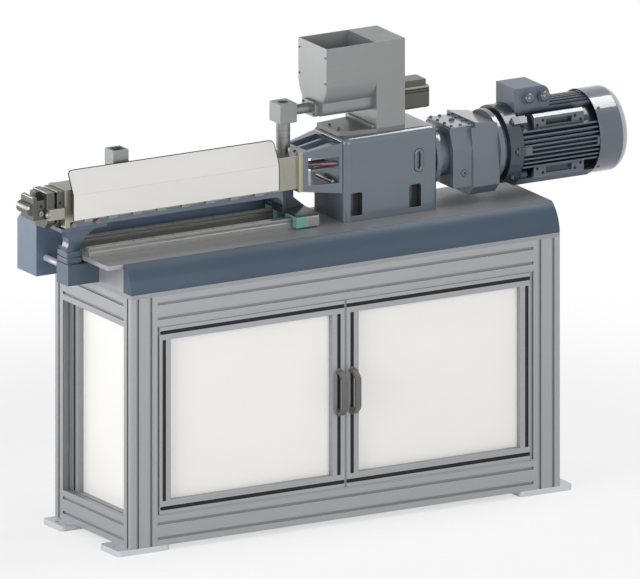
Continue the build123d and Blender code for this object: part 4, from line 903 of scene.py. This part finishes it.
# soft lamps: broad ones at the left, low behind and in front, and a flat one overhead that shows in the paint
lamps = {"leftSoft": {"at": (-3.8, -1.0, 1.5), "to": (0, 0, 0.6), "size": (2.4, 2.4), "power": 84.0},
         "rearSoft": {"at": (-2.4, 3.2, 0.8), "to": (-0.6, 0, 0.5), "size": (2.2, 1.2), "power": 45.0},
         "frontSoft": {"at": (0.4, -4.0, 1.5), "to": (0, 0, 0.6), "size": (3.0, 2.4), "power": 69.0},
         "topSoft": {"at": (2.25, -0.05, 4.05), "to": (2.25, -0.05, 0), "size": (1.1, 2.2), "power": 72.0}}
for name, lamp in lamps.items():
    data = bpy.data.lights.new(name, "AREA")
    data.shape = "RECTANGLE"
    data.size, data.size_y = lamp["size"]
    data.energy = lamp["power"]
    light = bpy.data.objects.new(name, data)
    light.location = lamp["at"]
    light.rotation_euler = (Vector(lamp["to"]) - Vector(lamp["at"])).to_track_quat("-Z", "Y").to_euler()
    bpy.context.collection.objects.link(light)


# 1 for rays from the camera, from mirrors and through glass, and 0 for the light on other surfaces
def shownRays(wire):
    shown = wire.node("ShaderNodeLightPath", output="Is Camera Ray")
    for kind in ("Is Glossy Ray", "Is Transmission Ray"):
        shown = shown + wire.node("ShaderNodeLightPath", output=kind)
    return shown.step(0.0, 1.0)


# white to the eye, in mirrors and through glass; a softer white as light
studio = {"ambient": 0.32, "white": (1, 1, 1), "floorTones": (0.88, 0.9), "speckleScale": 40.0,
          "speckleStep": (0.2, 0.8), "fade": (1.1, 2.4), "floorGlow": 0.62, "floorHalf": 9.0}
world = bpy.data.worlds.new("studio")
world.use_nodes = True
world.node_tree.nodes.clear()
sky = Wire(world.node_tree)
strength = shownRays(sky) * (1 - studio["ambient"]) + studio["ambient"]
glow = sky.node("ShaderNodeBackground", None, {"Color": rgb(studio["white"]), "Strength": strength})
sky.node("ShaderNodeOutputWorld", None, {"Surface": glow})
bpy.context.scene.world = world

# a pale floor that keeps the shadow and fades to white with the distance from the machine
half = studio["floorHalf"]
floorMesh = bpy.data.meshes.new("floor")
corners = [(-half, -half, 0), (half, -half, 0), (half, half, 0), (-half, half, 0)]
floorMesh.from_pydata(corners, [], [(0, 1, 2, 3)])
floor = bpy.data.objects.new("floor", floorMesh)
bpy.context.collection.objects.link(floor)
material, place = openFinish("paleFloor")
away = place.node("ShaderNodeVectorMath", {"operation": "LENGTH"}, {0: place}, "Value")
fade = away.step(*studio["fade"])
share = shownRays(place) * (fade * (1 - studio["floorGlow"]) + studio["floorGlow"])
darker, paler = [rgb(studio["white"], tone) for tone in studio["floorTones"]]
speckle = cloudy(place, studio["speckleScale"]).step(*studio["speckleStep"]).blend(darker, paler)
matt = place.node("ShaderNodeBsdfDiffuse", None, {"Color": speckle})
white = place.node("ShaderNodeEmission", None, {"Color": rgb(studio["white"]), "Strength": 1.0})
both = place.node("ShaderNodeMixShader", None, {0: share, 1: matt, 2: white})
place.node("ShaderNodeOutputMaterial", None, {"Surface": both})
floorMesh.materials.append(material)
bpy.context.scene.view_settings.view_transform = "Standard"
print("camera, lamps and floor made")
